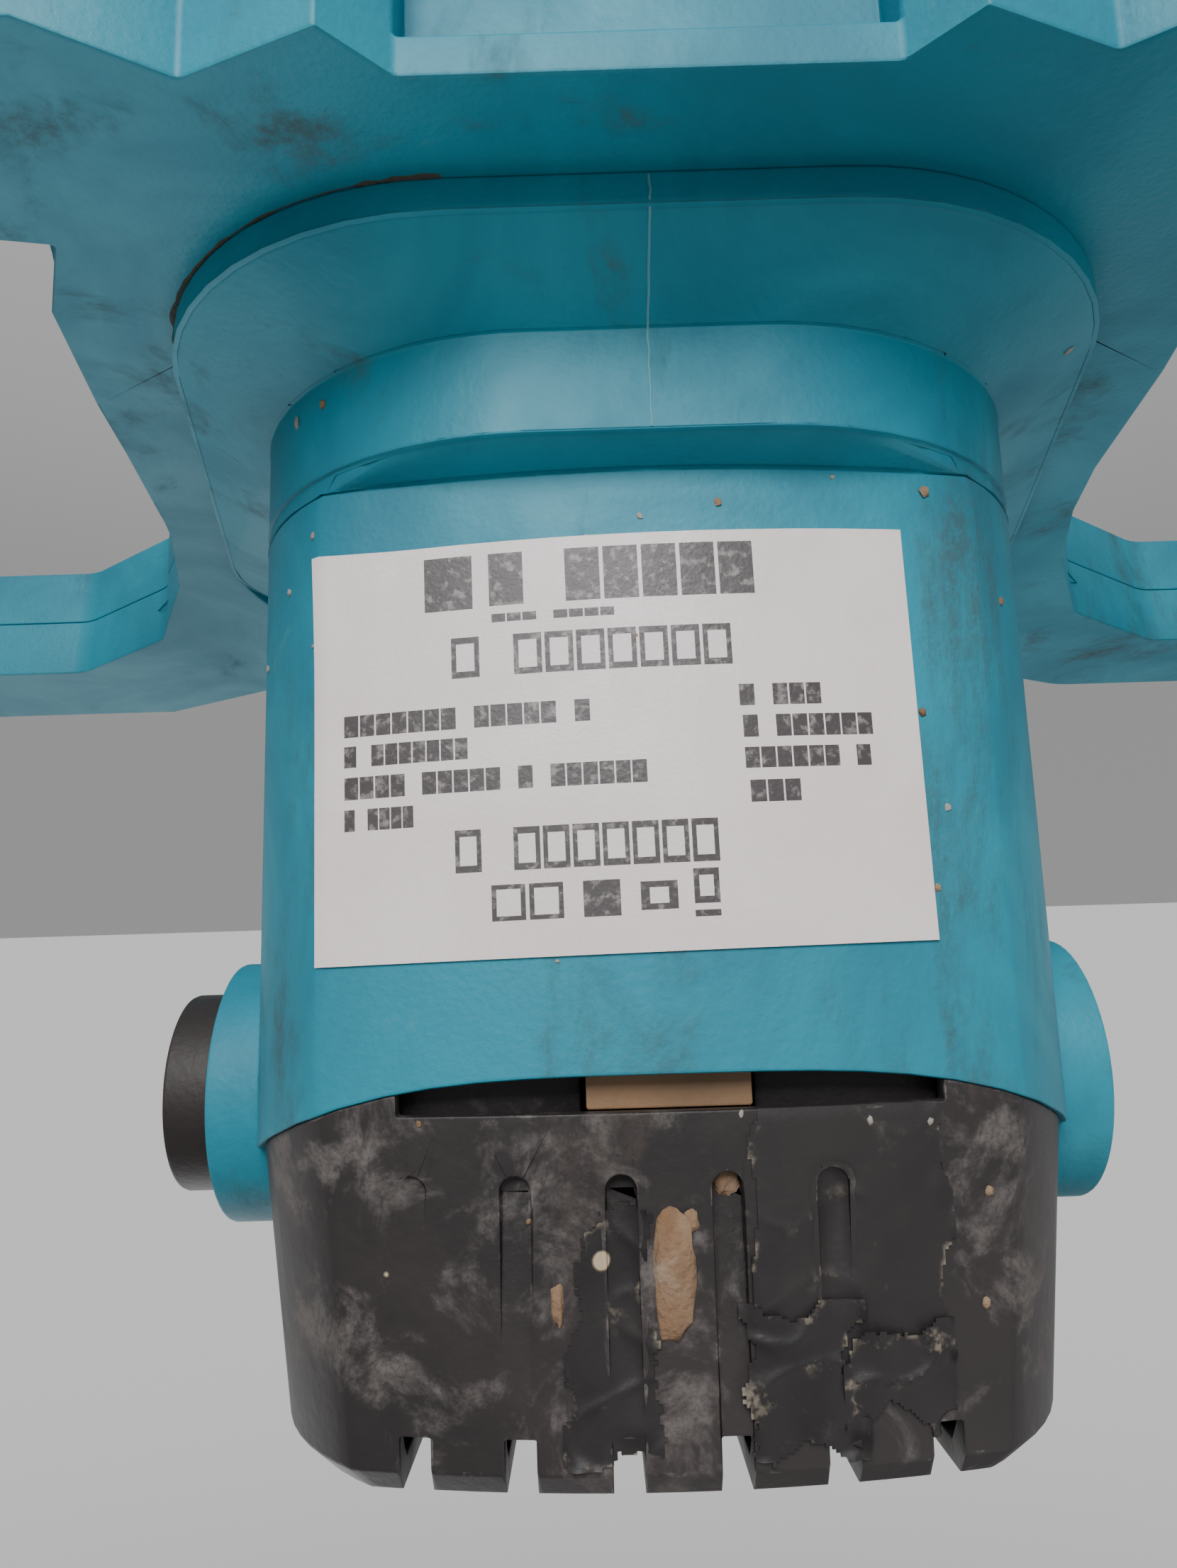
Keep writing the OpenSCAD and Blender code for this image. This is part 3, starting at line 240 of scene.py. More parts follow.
class Effects:
    """The effects that the finishes share, each one node group."""

    def __init__(self) -> None:
        """Builds every group once."""
        self.grain = self.build_grain()
        self.grime = self.build_grime()
        self.edges = self.build_edges()
        self.scratches = self.build_scratches()
        self.specks = self.build_specks()

    @staticmethod
    def build_grain() -> bpy.types.NodeTree:
        """Fine leathery texture of moulded plastic or a cast skin.

        Returns:
            The group, with a height and a slow tone from 0 to 1.
        """
        g = GroupSheet("moulded_grain", {"Vector": ("vector", None), "Scale": ("float", 1400.0)},
                       {"Height": "float", "Tone": "float"})
        fine = g.noise(g.inputs["Vector"], g.inputs["Scale"], 3.0, 0.6)
        cells = g.node("ShaderNodeTexVoronoi", {"feature": "SMOOTH_F1"}, Vector=g.inputs["Vector"],
                       Scale=g.math("MULTIPLY", g.inputs["Scale"], 0.7))
        g.put("Height", g.math("ADD", fine, g.math("MULTIPLY", cells.outputs["Distance"], -0.6)))
        broad = g.noise(g.inputs["Vector"], g.math("MULTIPLY", g.inputs["Scale"], 0.02), 5.0, 0.62, 0.6)
        g.put("Tone", broad)
        return g.tree

    @staticmethod
    def build_grime() -> bpy.types.NodeTree:
        """Clouds, streaks and settled dust, as one mask.

        Returns:
            The group, with one mask.
        """
        g = GroupSheet("grime", {"Vector": ("vector", None), "Scale": ("float", 40.0),
                                 "Amount": ("float", 0.4), "Streak": ("float", 3.0)},
                       {"Mask": "float"})
        squeezed = g.node("ShaderNodeVectorMath", {"operation": "MULTIPLY"})
        g.tree.links.new(g.inputs["Vector"], squeezed.inputs[0])
        stretch = g.node("ShaderNodeCombineXYZ", X=1.0, Y=1.0,
                         Z=g.math("DIVIDE", 1.0, g.inputs["Streak"]))
        g.tree.links.new(stretch.outputs[0], squeezed.inputs[1])
        clouds = g.noise(squeezed.outputs[0], g.inputs["Scale"], 8.0, 0.68, 0.4)
        edge = g.math("SUBTRACT", 0.78, g.math("MULTIPLY", g.inputs["Amount"], 0.5))
        mask = g.ramp(clouds, edge, g.math("ADD", edge, 0.16))
        fine = g.noise(g.inputs["Vector"], g.math("MULTIPLY", g.inputs["Scale"], 22.0), 4.0, 0.7)
        g.put("Mask", g.math("MULTIPLY", mask, g.ramp(fine, 0.3, 0.6, 0.45, 1.0)))
        return g.tree

    @staticmethod
    def build_edges() -> bpy.types.NodeTree:
        """Finds where rounded edges are rubbed.

        Returns:
            The group, with a mask of worn edges.
        """
        g = GroupSheet("worn_edges", {"Vector": ("vector", None), "Wear": ("float", 0.3)},
                       {"Mask": "float"})
        marked = g.node("ShaderNodeAttribute", {"attribute_name": "edge_wear"}).outputs["Fac"]
        rough = g.noise(g.inputs["Vector"], 260.0, 4.0, 0.7)
        low = g.math("SUBTRACT", 0.72, g.math("MULTIPLY", g.inputs["Wear"], 0.45))
        g.put("Mask", g.math("MULTIPLY", marked, g.ramp(rough, low, g.math("ADD", low, 0.12))))
        return g.tree

    @staticmethod
    def build_scratches() -> bpy.types.NodeTree:
        """Thin wandering scratches and crackle.

        Returns:
            The group, with one mask.
        """
        g = GroupSheet("scratches", {"Vector": ("vector", None), "Scale": ("float", 60.0),
                                     "Amount": ("float", 0.5)}, {"Mask": "float"})
        bent = g.node("ShaderNodeTexNoise", Vector=g.inputs["Vector"], Scale=30.0, Detail=3.0)
        shift = g.node("ShaderNodeVectorMath", {"operation": "SCALE"}, Scale=0.012)
        g.tree.links.new(bent.outputs[1], shift.inputs[0])
        where = g.node("ShaderNodeVectorMath", {"operation": "ADD"})
        g.tree.links.new(g.inputs["Vector"], where.inputs[0])
        g.tree.links.new(shift.outputs[0], where.inputs[1])
        cracks = g.node("ShaderNodeTexVoronoi", {"feature": "DISTANCE_TO_EDGE"},
                        Vector=where.outputs[0], Scale=g.inputs["Scale"])
        line = g.ramp(cracks.outputs["Distance"], 0.0, 0.02, 1.0, 0.0)
        patchy = g.noise(g.inputs["Vector"], g.math("MULTIPLY", g.inputs["Scale"], 0.7), 4.0, 0.6)
        edge = g.math("SUBTRACT", 0.8, g.math("MULTIPLY", g.inputs["Amount"], 0.5))
        g.put("Mask", g.math("MULTIPLY", line, g.ramp(patchy, edge, g.math("ADD", edge, 0.08))))
        return g.tree

    @staticmethod
    def build_specks() -> bpy.types.NodeTree:
        """Scattered grains of sand and dried mortar.

        Returns:
            The group, with a mask and the grains' own height.
        """
        g = GroupSheet("specks", {"Vector": ("vector", None), "Scale": ("float", 130.0),
                                  "Share": ("float", 0.1)}, {"Mask": "float", "Height": "float"})
        dots = g.node("ShaderNodeTexVoronoi", {"feature": "F1"}, Vector=g.inputs["Vector"],
                      Scale=g.inputs["Scale"], Randomness=1.0)
        split = g.node("ShaderNodeSeparateColor")
        g.tree.links.new(dots.outputs["Color"], split.inputs[0])
        chosen = g.math("LESS_THAN", split.outputs[0], g.inputs["Share"])
        size = g.math("ADD", 0.06, g.math("MULTIPLY", split.outputs[1], 0.12))
        inside = g.ramp(dots.outputs["Distance"], g.math("MULTIPLY", size, 0.7), size, 1.0, 0.0)
        mask = g.math("MULTIPLY", inside, chosen)
        g.put("Mask", mask)
        g.put("Height", mask)
        return g.tree


# ---------- finishes ----------


@dataclass(frozen=True)
class Finish:
    """A surface finish, in plain terms, that any piece can wear."""

    name: str
    colour: Colour
    shade: Colour
    roughness: float = 0.5
    metallic: float = 0.0
    coat: float = 0.0
    grain_scale: float = 1400.0
    grain_depth: float = 0.00006
    dirt: float = 0.25
    dirt_colour: Colour = (0.17, 0.12, 0.08)
    dirt_scale: float = 38.0
    dust: float = 0.15
    dust_colour: Colour = (0.47, 0.42, 0.35)
    wear: float = 0.2
    wear_colour: Colour = (0.5, 0.5, 0.5)
    scratch: float = 0.2
    scratch_colour: Colour = (0.4, 0.4, 0.4)
    scratch_scale: float = 45.0
    specks: float = 0.04

    def build(self, effects: Effects) -> bpy.types.Material:
        """Makes the material.

        Args:
            effects: the shared node groups.

        Returns:
            The material with its node tree.
        """
        material = bpy.data.materials.new(self.name)
        material.use_nodes = True
        sheet = NodeSheet(material.node_tree)
        shader = material.node_tree.nodes["Principled BSDF"]
        where = sheet.node("ShaderNodeTexCoord").outputs["Object"]
        grain = self.group(sheet, effects.grain, Vector=where, Scale=self.grain_scale)
        grime = self.group(sheet, effects.grime, Vector=where, Scale=self.dirt_scale, Amount=self.dirt)
        dusty = self.group(sheet, effects.grime, Vector=where, Scale=self.dirt_scale * 2.3,
                           Amount=self.dust, Streak=1.0)
        edges = self.group(sheet, effects.edges, Vector=where, Wear=self.wear)
        lines = self.group(sheet, effects.scratches, Vector=where, Scale=self.scratch_scale,
                           Amount=self.scratch)
        dots = self.group(sheet, effects.specks, Vector=where, Share=self.specks)
        tone = sheet.ramp(grain.outputs["Tone"], 0.32, 0.68)
        colour = sheet.mix(tone, self.shade, self.colour)
        worn = sheet.math("MULTIPLY", edges.outputs["Mask"], min(1.0, self.wear * 2.0))
        colour = sheet.mix(worn, colour, self.wear_colour)
        scratched = sheet.math("MULTIPLY", lines.outputs["Mask"], self.scratch)
        colour = sheet.mix(scratched, colour, self.scratch_colour)
        colour = sheet.mix(sheet.math("MULTIPLY", dusty.outputs["Mask"], 0.55), colour,
                           self.dust_colour)
        soiled = sheet.math("MULTIPLY", grime.outputs["Mask"], 0.75)
        colour = sheet.mix(soiled, colour, self.dirt_colour)
        colour = sheet.mix(dots.outputs["Mask"], colour, (0.5, 0.4, 0.27))
        sheet.feed(shader, "Base Color", self.print_on(sheet, colour))
        dull = sheet.math("ADD", sheet.math("MULTIPLY", dusty.outputs["Mask"], 0.25),
                          sheet.math("MULTIPLY", soiled, 0.3))
        rough = sheet.math("ADD", sheet.ramp(grain.outputs["Tone"], 0.3, 0.7, self.roughness + 0.07,
                                             self.roughness - 0.05), dull, clamp=True)
        sheet.feed(shader, "Roughness", rough)
        if self.metallic > 0:
            covered = sheet.math("ADD", soiled, dots.outputs["Mask"])
            sheet.feed(shader, "Metallic", sheet.math("SUBTRACT", self.metallic, covered, clamp=True))
        if self.coat > 0:
            shader.inputs["Coat Weight"].default_value = self.coat
            shader.inputs["Coat Roughness"].default_value = 0.12
        fine = sheet.node("ShaderNodeBump", Height=grain.outputs["Height"], Strength=1.0,
                          Distance=self.grain_depth)
        crust = sheet.math("ADD", sheet.math("MULTIPLY", grime.outputs["Mask"], 0.3),
                           dots.outputs["Height"])
        crust = sheet.math("SUBTRACT", crust, sheet.math("MULTIPLY", scratched, 0.3))
        bump = sheet.node("ShaderNodeBump", Height=crust, Strength=1.0, Distance=0.00025,
                          Normal=fine.outputs[0])
        sheet.feed(shader, "Normal", bump.outputs[0])
        return material

    def print_on(self, sheet: NodeSheet, colour: object) -> object:
        """Leaves the colour unprinted.

        Args:
            sheet: the material's sheet; not used here.
            colour: the surface's colour.

        Returns:
            The same colour.
        """
        return colour

    @staticmethod
    def group(sheet: NodeSheet, tree: bpy.types.NodeTree, **inputs: object) -> bpy.types.Node:
        """Places a shared group in a material.

        Args:
            sheet: the material's sheet.
            tree: the group's tree.
            inputs: values or sockets by input name.

        Returns:
            The group node.
        """
        return sheet.node("ShaderNodeGroup", {"node_tree": tree}, **inputs)


@dataclass(frozen=True)
class PrintRow:
    """One row of printed blocks, in shares of the label from its top left corner."""

    left: float
    right: float
    top: float
    bottom: float
    blocks: int
    border: float = 0.0
    seed: float = 0.0


@dataclass(frozen=True)
class LabelPrint(Finish):
    """The film's finish with rows of plain printed blocks that stand for its text."""

    ink: Colour = (0.045, 0.038, 0.04)
    paper: Colour = (0.8, 0.74, 0.73)
    rows: tuple[PrintRow, ...] = (
        PrintRow(0.19, 0.28, 0.03, 0.165, 1),
        PrintRow(0.3, 0.745, 0.03, 0.162, 7, 0.0, 3.0),
        PrintRow(0.305, 0.51, 0.182, 0.203, 8, 0.0, 1.0),
        PrintRow(0.235, 0.7, 0.235, 0.335, 9, 0.16, 3.0),
        PrintRow(0.052, 0.463, 0.405, 0.458, 15, 0.0, 5.0),
        PrintRow(0.052, 0.262, 0.48, 0.532, 9, 0.0, 3.0),
        PrintRow(0.052, 0.55, 0.556, 0.61, 19, 0.0, 8.0),
        PrintRow(0.052, 0.17, 0.634, 0.686, 6, 0.0, 3.0),
        PrintRow(0.703, 0.84, 0.385, 0.437, 5, 0.0, 3.0),
        PrintRow(0.706, 0.922, 0.46, 0.513, 8, 0.0, 3.0),
        PrintRow(0.706, 0.915, 0.537, 0.587, 8, 0.0, 6.0),
        PrintRow(0.711, 0.795, 0.615, 0.667, 3, 0.0, 3.0),
        PrintRow(0.234, 0.706, 0.7, 0.8, 10, 0.16, 3.0),
        PrintRow(0.29, 0.41, 0.832, 0.915, 2, 0.13, 3.0),
        PrintRow(0.435, 0.5, 0.832, 0.915, 1, 0.0, 3.0),
        PrintRow(0.525, 0.59, 0.84, 0.905, 1, 0.22, 3.0),
        PrintRow(0.61, 0.655, 0.815, 0.895, 1, 0.2, 3.0),
        PrintRow(0.61, 0.655, 0.91, 0.925, 1))

    def print_on(self, sheet: NodeSheet, colour: object) -> object:
        """Prints the rows on the film.

        Args:
            sheet: the material's sheet.
            colour: the film's colour.

        Returns:
            The printed colour.
        """
        split = sheet.node("ShaderNodeSeparateXYZ")
        sheet.tree.links.new(sheet.node("ShaderNodeTexCoord").outputs["UV"], split.inputs[0])
        left, top = (sheet.math("SUBTRACT", 1.0, split.outputs[i]) for i in (0, 1))
        row_tree = self.build_row()
        worn = sheet.noise(sheet.node("ShaderNodeTexCoord").outputs["Object"], 900.0, 3.0, 0.6)
        strength = sheet.ramp(worn, 0.3, 0.5, 0.72, 0.97)
        for row in self.rows:
            printed = self.group(sheet, row_tree, Left=left, Top=top, X0=row.left, X1=row.right,
                                 Y0=row.top, Y1=row.bottom, Blocks=float(row.blocks),
                                 Border=row.border, Seed=row.seed)
            colour = sheet.mix(printed.outputs["Inner"], colour, self.paper)
            colour = sheet.mix(sheet.math("MULTIPLY", printed.outputs["Ink"], strength), colour,
                               self.ink)
        return colour

    @staticmethod
    def build_row() -> bpy.types.NodeTree:
        """Builds the group that draws one row of blocks.

        Returns:
            The group, with a mask of ink and one of the blocks' pale inside.
        """
        spans = ("X0", "X1", "Y0", "Y1")
        g = GroupSheet("print_row", {name: ("float", 0.0) for name in
                                     ("Left", "Top", *spans, "Blocks", "Border", "Seed")},
                       {"Ink": "float", "Inner": "float"})
        across = g.ramp(g.inputs["Left"], g.inputs["X0"], g.inputs["X1"], smooth=False)
        down = g.ramp(g.inputs["Top"], g.inputs["Y0"], g.inputs["Y1"], smooth=False)
        along = g.math("MULTIPLY", across, g.inputs["Blocks"])
        cell = g.math("FRACT", along)
        number = g.math("ADD", g.math("FLOOR", along), g.inputs["Seed"])
        draw = g.node("ShaderNodeTexWhiteNoise", {"noise_dimensions": "1D"}, W=number)
        kept = g.math("MAXIMUM", g.math("GREATER_THAN", draw.outputs[0], 0.13),
                      g.math("LESS_THAN", g.inputs["Blocks"], 3.5))

        def band(value: object, edge: object) -> object:
            """Marks where a share lies further than edge from both its ends."""
            over = g.math("GREATER_THAN", value, edge)
            return g.math("MULTIPLY", over, g.math("LESS_THAN", value, g.math("SUBTRACT", 1.0, edge)))

        block = g.math("MULTIPLY", band(across, 0.0001), band(down, 0.0001))
        block = g.math("MULTIPLY", block, g.math("MULTIPLY", band(cell, 0.05), kept))
        rim = g.math("ADD", g.inputs["Border"], 0.05)
        inner = g.math("MULTIPLY", band(cell, rim), band(down, g.inputs["Border"]))
        inner = g.math("MULTIPLY", g.math("MULTIPLY", inner, block),
                       g.math("GREATER_THAN", g.inputs["Border"], 0.01))
        g.put("Ink", g.math("SUBTRACT", block, inner))
        g.put("Inner", inner)
        return g.tree


class Finishes:
    """Every finish of the mixer, built on demand."""

    PLANS = (
        Finish("teal_nylon", (0.010, 0.265, 0.365), (0.006, 0.19, 0.275), 0.54, dirt=0.46, dust=0.3,
               wear=0.15, wear_colour=(0.10, 0.45, 0.56), scratch=0.1,
                scratch_colour=(0.16, 0.48, 0.56),
               specks=0.02, dirt_colour=(0.05, 0.075, 0.07), dust_colour=(0.12, 0.3, 0.33)),
        Finish("black_nylon", (0.018, 0.015, 0.016), (0.034, 0.027, 0.027), 0.5, grain_scale=900.0,
               dirt=0.4, dirt_colour=(0.06, 0.044, 0.034), dust=0.55, dust_colour=(0.22, 0.195, 0.18),
               wear=0.4, wear_colour=(0.13, 0.115, 0.11), scratch=0.3, specks=0.06,
               scratch_colour=(0.3, 0.27, 0.25)),
        Finish("black_gloss", (0.012, 0.01, 0.01), (0.026, 0.019, 0.017), 0.5, coat=0.05, dust=0.2,
               dust_colour=(0.2, 0.16, 0.14), wear=0.25, wear_colour=(0.14, 0.12, 0.11), scratch=0.3),
        Finish("control_plastic", (0.02, 0.02, 0.021), (0.035, 0.034, 0.034), 0.45, dust=0.25),
        Finish("brown_phenolic", (0.30, 0.17, 0.085), (0.2, 0.12, 0.065), 0.55, dust=0.3),
        Finish("grip_rubber", (0.02, 0.02, 0.021), (0.03, 0.029, 0.028), 0.68, grain_scale=2200.0,
               dust=0.35, dust_colour=(0.24, 0.22, 0.2), wear=0.3, wear_colour=(0.09, 0.088, 0.085)),
        Finish("cast_alu", (0.42, 0.425, 0.43), (0.32, 0.325, 0.33), 0.46, 0.85, grain_scale=1600.0,
               grain_depth=0.00012, dirt=0.4, dust=0.3, wear=0.3, wear_colour=(0.62, 0.62, 0.62)),
        Finish("gasket_fibre", (0.28, 0.21, 0.12), (0.2, 0.15, 0.09), 0.85),
        Finish("zinc_steel", (0.56, 0.56, 0.55), (0.45, 0.45, 0.43), 0.34, 0.9, grain_depth=0.00002,
               dirt=0.3, dust=0.15),
        Finish("ground_steel", (0.58, 0.58, 0.6), (0.48, 0.48, 0.5), 0.28, 0.95, grain_depth=0.00002,
               dirt=0.3, dust=0.1),
        Finish("gear_steel", (0.36, 0.37, 0.39), (0.28, 0.285, 0.3), 0.38, 0.9, grain_depth=0.00002),
        Finish("bearing_steel", (0.68, 0.69, 0.71), (0.58, 0.59, 0.61), 0.16, 1.0, grain_depth=0.00001,
               dirt=0.05, dust=0.0, specks=0.0),
        Finish("core_steel", (0.3, 0.3, 0.31), (0.22, 0.22, 0.23), 0.5, 0.7, dirt=0.3),
        Finish("enamelled_copper", (0.5, 0.17, 0.07), (0.36, 0.12, 0.05), 0.34, 0.6, coat=0.3,
               dust=0.3),
        Finish("commutator_copper", (0.62, 0.26, 0.14), (0.42, 0.18, 0.1), 0.3, 0.95),
        Finish("holder_brass", (0.6, 0.42, 0.17), (0.46, 0.31, 0.12), 0.34, 0.95),
        Finish("carbon", (0.045, 0.045, 0.047), (0.03, 0.03, 0.032), 0.55),
        Finish("fan_nylon", (0.5, 0.47, 0.4), (0.42, 0.39, 0.33), 0.5, dust=0.4),
        Finish("circuit_board", (0.03, 0.16, 0.07), (0.02, 0.11, 0.05), 0.35, coat=0.2),
        Finish("paddle_paint", (0.55, 0.2, 0.035), (0.42, 0.14, 0.025), 0.4, grain_depth=0.00003,
               dirt=0.35, dirt_colour=(0.3, 0.27, 0.23), dirt_scale=22.0, dust=0.5,
               dust_colour=(0.5, 0.47, 0.42), wear=0.5, wear_colour=(0.3, 0.28, 0.27), specks=0.1),
        Finish("label_film", (0.86, 0.78, 0.77), (0.78, 0.7, 0.69), 0.42, grain_scale=2600.0,
               grain_depth=0.00002, dirt=0.08, dirt_colour=(0.42, 0.3, 0.2), dust=0.1, wear=0.1,
               specks=0.01),
    )

    EXTRAS = (
        Finish("black_tape", (0.014, 0.012, 0.013), (0.024, 0.02, 0.02), 0.52, grain_scale=1900.0,
               grain_depth=0.00003, dirt=0.3, dirt_colour=(0.045, 0.034, 0.028), dust=0.3,
               dust_colour=(0.15, 0.135, 0.12), wear=0.4, wear_colour=(0.34, 0.29, 0.22), scratch=0.2,
               scratch_colour=(0.3, 0.27, 0.24), specks=0.05),
        Finish("mortar_tan", (0.2, 0.105, 0.05), (0.34, 0.24, 0.16), 0.92, grain_scale=1800.0,
               grain_depth=0.00025, dirt=0.35, dirt_colour=(0.2, 0.11, 0.05), dust=0.4, specks=0.2),
        Finish("mortar_grey", (0.4, 0.37, 0.32), (0.28, 0.26, 0.23), 0.92, grain_scale=1500.0,
               grain_depth=0.0003, dirt=0.3, dirt_colour=(0.2, 0.18, 0.15), dust=0.4, specks=0.2),
        Finish("brown_dirt", (0.085, 0.07, 0.05), (0.035, 0.06, 0.06), 0.95, grain_scale=1600.0,
               grain_depth=0.0003, dirt=0.4, dirt_colour=(0.11, 0.07, 0.035), specks=0.15),
        Finish("flash_teal", (0.16, 0.42, 0.47), (0.08, 0.3, 0.38), 0.5),
        LabelPrint("label_print", (0.86, 0.78, 0.77), (0.78, 0.7, 0.69), 0.36, grain_scale=2600.0,
                   grain_depth=0.00003, dirt=0.05, dirt_colour=(0.42, 0.3, 0.2), dust=0.05, wear=0.0,
                   scratch=0.0, specks=0.004),
    )

    def __init__(self, effects: Effects) -> None:
        """Builds the materials.

        Args:
            effects: the shared node groups.
        """
        self.made = {plan.name: plan.build(effects) for plan in self.PLANS + self.EXTRAS}

    def dress_cad_nodes(self) -> None:
        """Gives every CAD node the material of its slot."""
        slots = record_slots()
        for name, piece in frame["nodes"].items():
            piece.data.materials.clear()
            piece.data.materials.append(self.made[slots[name]])


def record_slots() -> dict[str, str]:
    """Reads each CAD node's material slot from the record.

    Returns:
        The slots by node.
    """
    return {part["node"]: part["material_slot"] for part in frame["record"]["subparts"]}


def copy_node(name: str) -> bpy.types.Object:
    """Copies a CAD node as a new object with a mesh of its own.

    Args:
        name: the node.

    Returns:
        The copy.
    """
    piece = bpy.data.objects.new(name, frame["nodes"][name].data.copy())
    bpy.context.scene.collection.objects.link(piece)
    return piece


# ---------- modelling ----------


class Bench:
    """Where pieces are made: selection, clean-up and handing over to their bodies."""

    def __init__(self, finishes: Finishes) -> None:
        """Keeps the finishes at hand.

        Args:
            finishes: the materials.
        """
        self.finishes = finishes

    @staticmethod
    def only(piece: bpy.types.Object) -> None:
        """Selects one object alone and makes it active.

        Args:
            piece: the object.
        """
        if bpy.context.object and bpy.context.object.mode != "OBJECT":
            bpy.ops.object.mode_set(mode="OBJECT")
        bpy.ops.object.select_all(action="DESELECT")
        piece.select_set(True)
        bpy.context.view_layer.objects.active = piece

    def start(self, add: Callable[..., object], **how: object) -> bpy.types.Object:
        """Adds a primitive with nothing else selected.

        Args:
            add: the primitive's operator.
            how: its settings.

        Returns:
            The new object.
        """
        bpy.ops.object.select_all(action="DESELECT")
        add(**how)
        return bpy.context.object

    def apply(self, piece: bpy.types.Object, kind: str, **settings: object) -> None:
        """Adds a modifier to a piece and applies it.

        Args:
            piece: the piece.
            kind: the modifier's type.
            settings: the modifier's settings.
        """
        modifier = piece.modifiers.new(kind.lower(), kind)
        for key, value in settings.items():
            setattr(modifier, key, value)
        self.only(piece)
        bpy.ops.object.modifier_apply(modifier=modifier.name)

    def tidy(self, piece: bpy.types.Object, weld: float = 1e-6) -> None:
        """Merges doubles and turns every face outwards.

        Args:
            piece: the piece.
            weld: the distance under which points are merged.
        """
        self.only(piece)
        bpy.ops.object.mode_set(mode="EDIT")
        bpy.ops.mesh.select_all(action="SELECT")
        bpy.ops.mesh.remove_doubles(threshold=weld)
        bpy.ops.mesh.normals_make_consistent(inside=False)
        bpy.ops.object.mode_set(mode="OBJECT")

    def settle(self, piece: bpy.types.Object) -> None:
        """Moves a piece's place, turn and size into its mesh.

        Args:
            piece: the piece.
        """
        self.only(piece)
        bpy.ops.object.transform_apply(location=True, rotation=True, scale=True)

    def soften(self, piece: bpy.types.Object, angle: float = 40.0) -> None:
        """Shades a piece smooth up to an angle.

        Args:
            piece: the piece.
            angle: the angle in degrees above which an edge stays sharp.
        """
        self.only(piece)
        bpy.ops.object.shade_smooth_by_angle(angle=math.radians(angle))

    def join(self, parts: list[bpy.types.Object]) -> bpy.types.Object:
        """Joins objects into the first one.

        Args:
            parts: the objects.

        Returns:
            The joined object.
        """
        self.only(parts[0])
        for part in parts:
            part.select_set(True)
        bpy.ops.object.join()
        return bpy.context.object

    def hand_over(self, piece: bpy.types.Object, name: str, body: str, slot: str, finish: str = "",
                  replaced: tuple[str, ...] = ()) -> bpy.types.Object:
        """Names, dresses and mounts a finished piece.

        Args:
            piece: the piece.
            name: its name.
            body: the CAD body that it rides on.
            slot: the record's material slot.
            finish: the material's name where it isn't the slot's own.
            replaced: the CAD nodes that it stands for.

        Returns:
            The piece.
        """
        piece.name = name
        piece.data.name = name
        piece.data.materials.clear()
        piece.data.materials.append(self.finishes.made[finish or slot])
        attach(piece, body)
        if replaced:
            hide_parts(*replaced)
        LOG.info("%s: %d faces on %s", name, len(piece.data.polygons), body)
        return piece


@dataclass(frozen=True)
class Rounding:
    """How far one CAD node's edges are rounded, in millimetres."""

    node: str
    width: float
    angle: float = 33.0


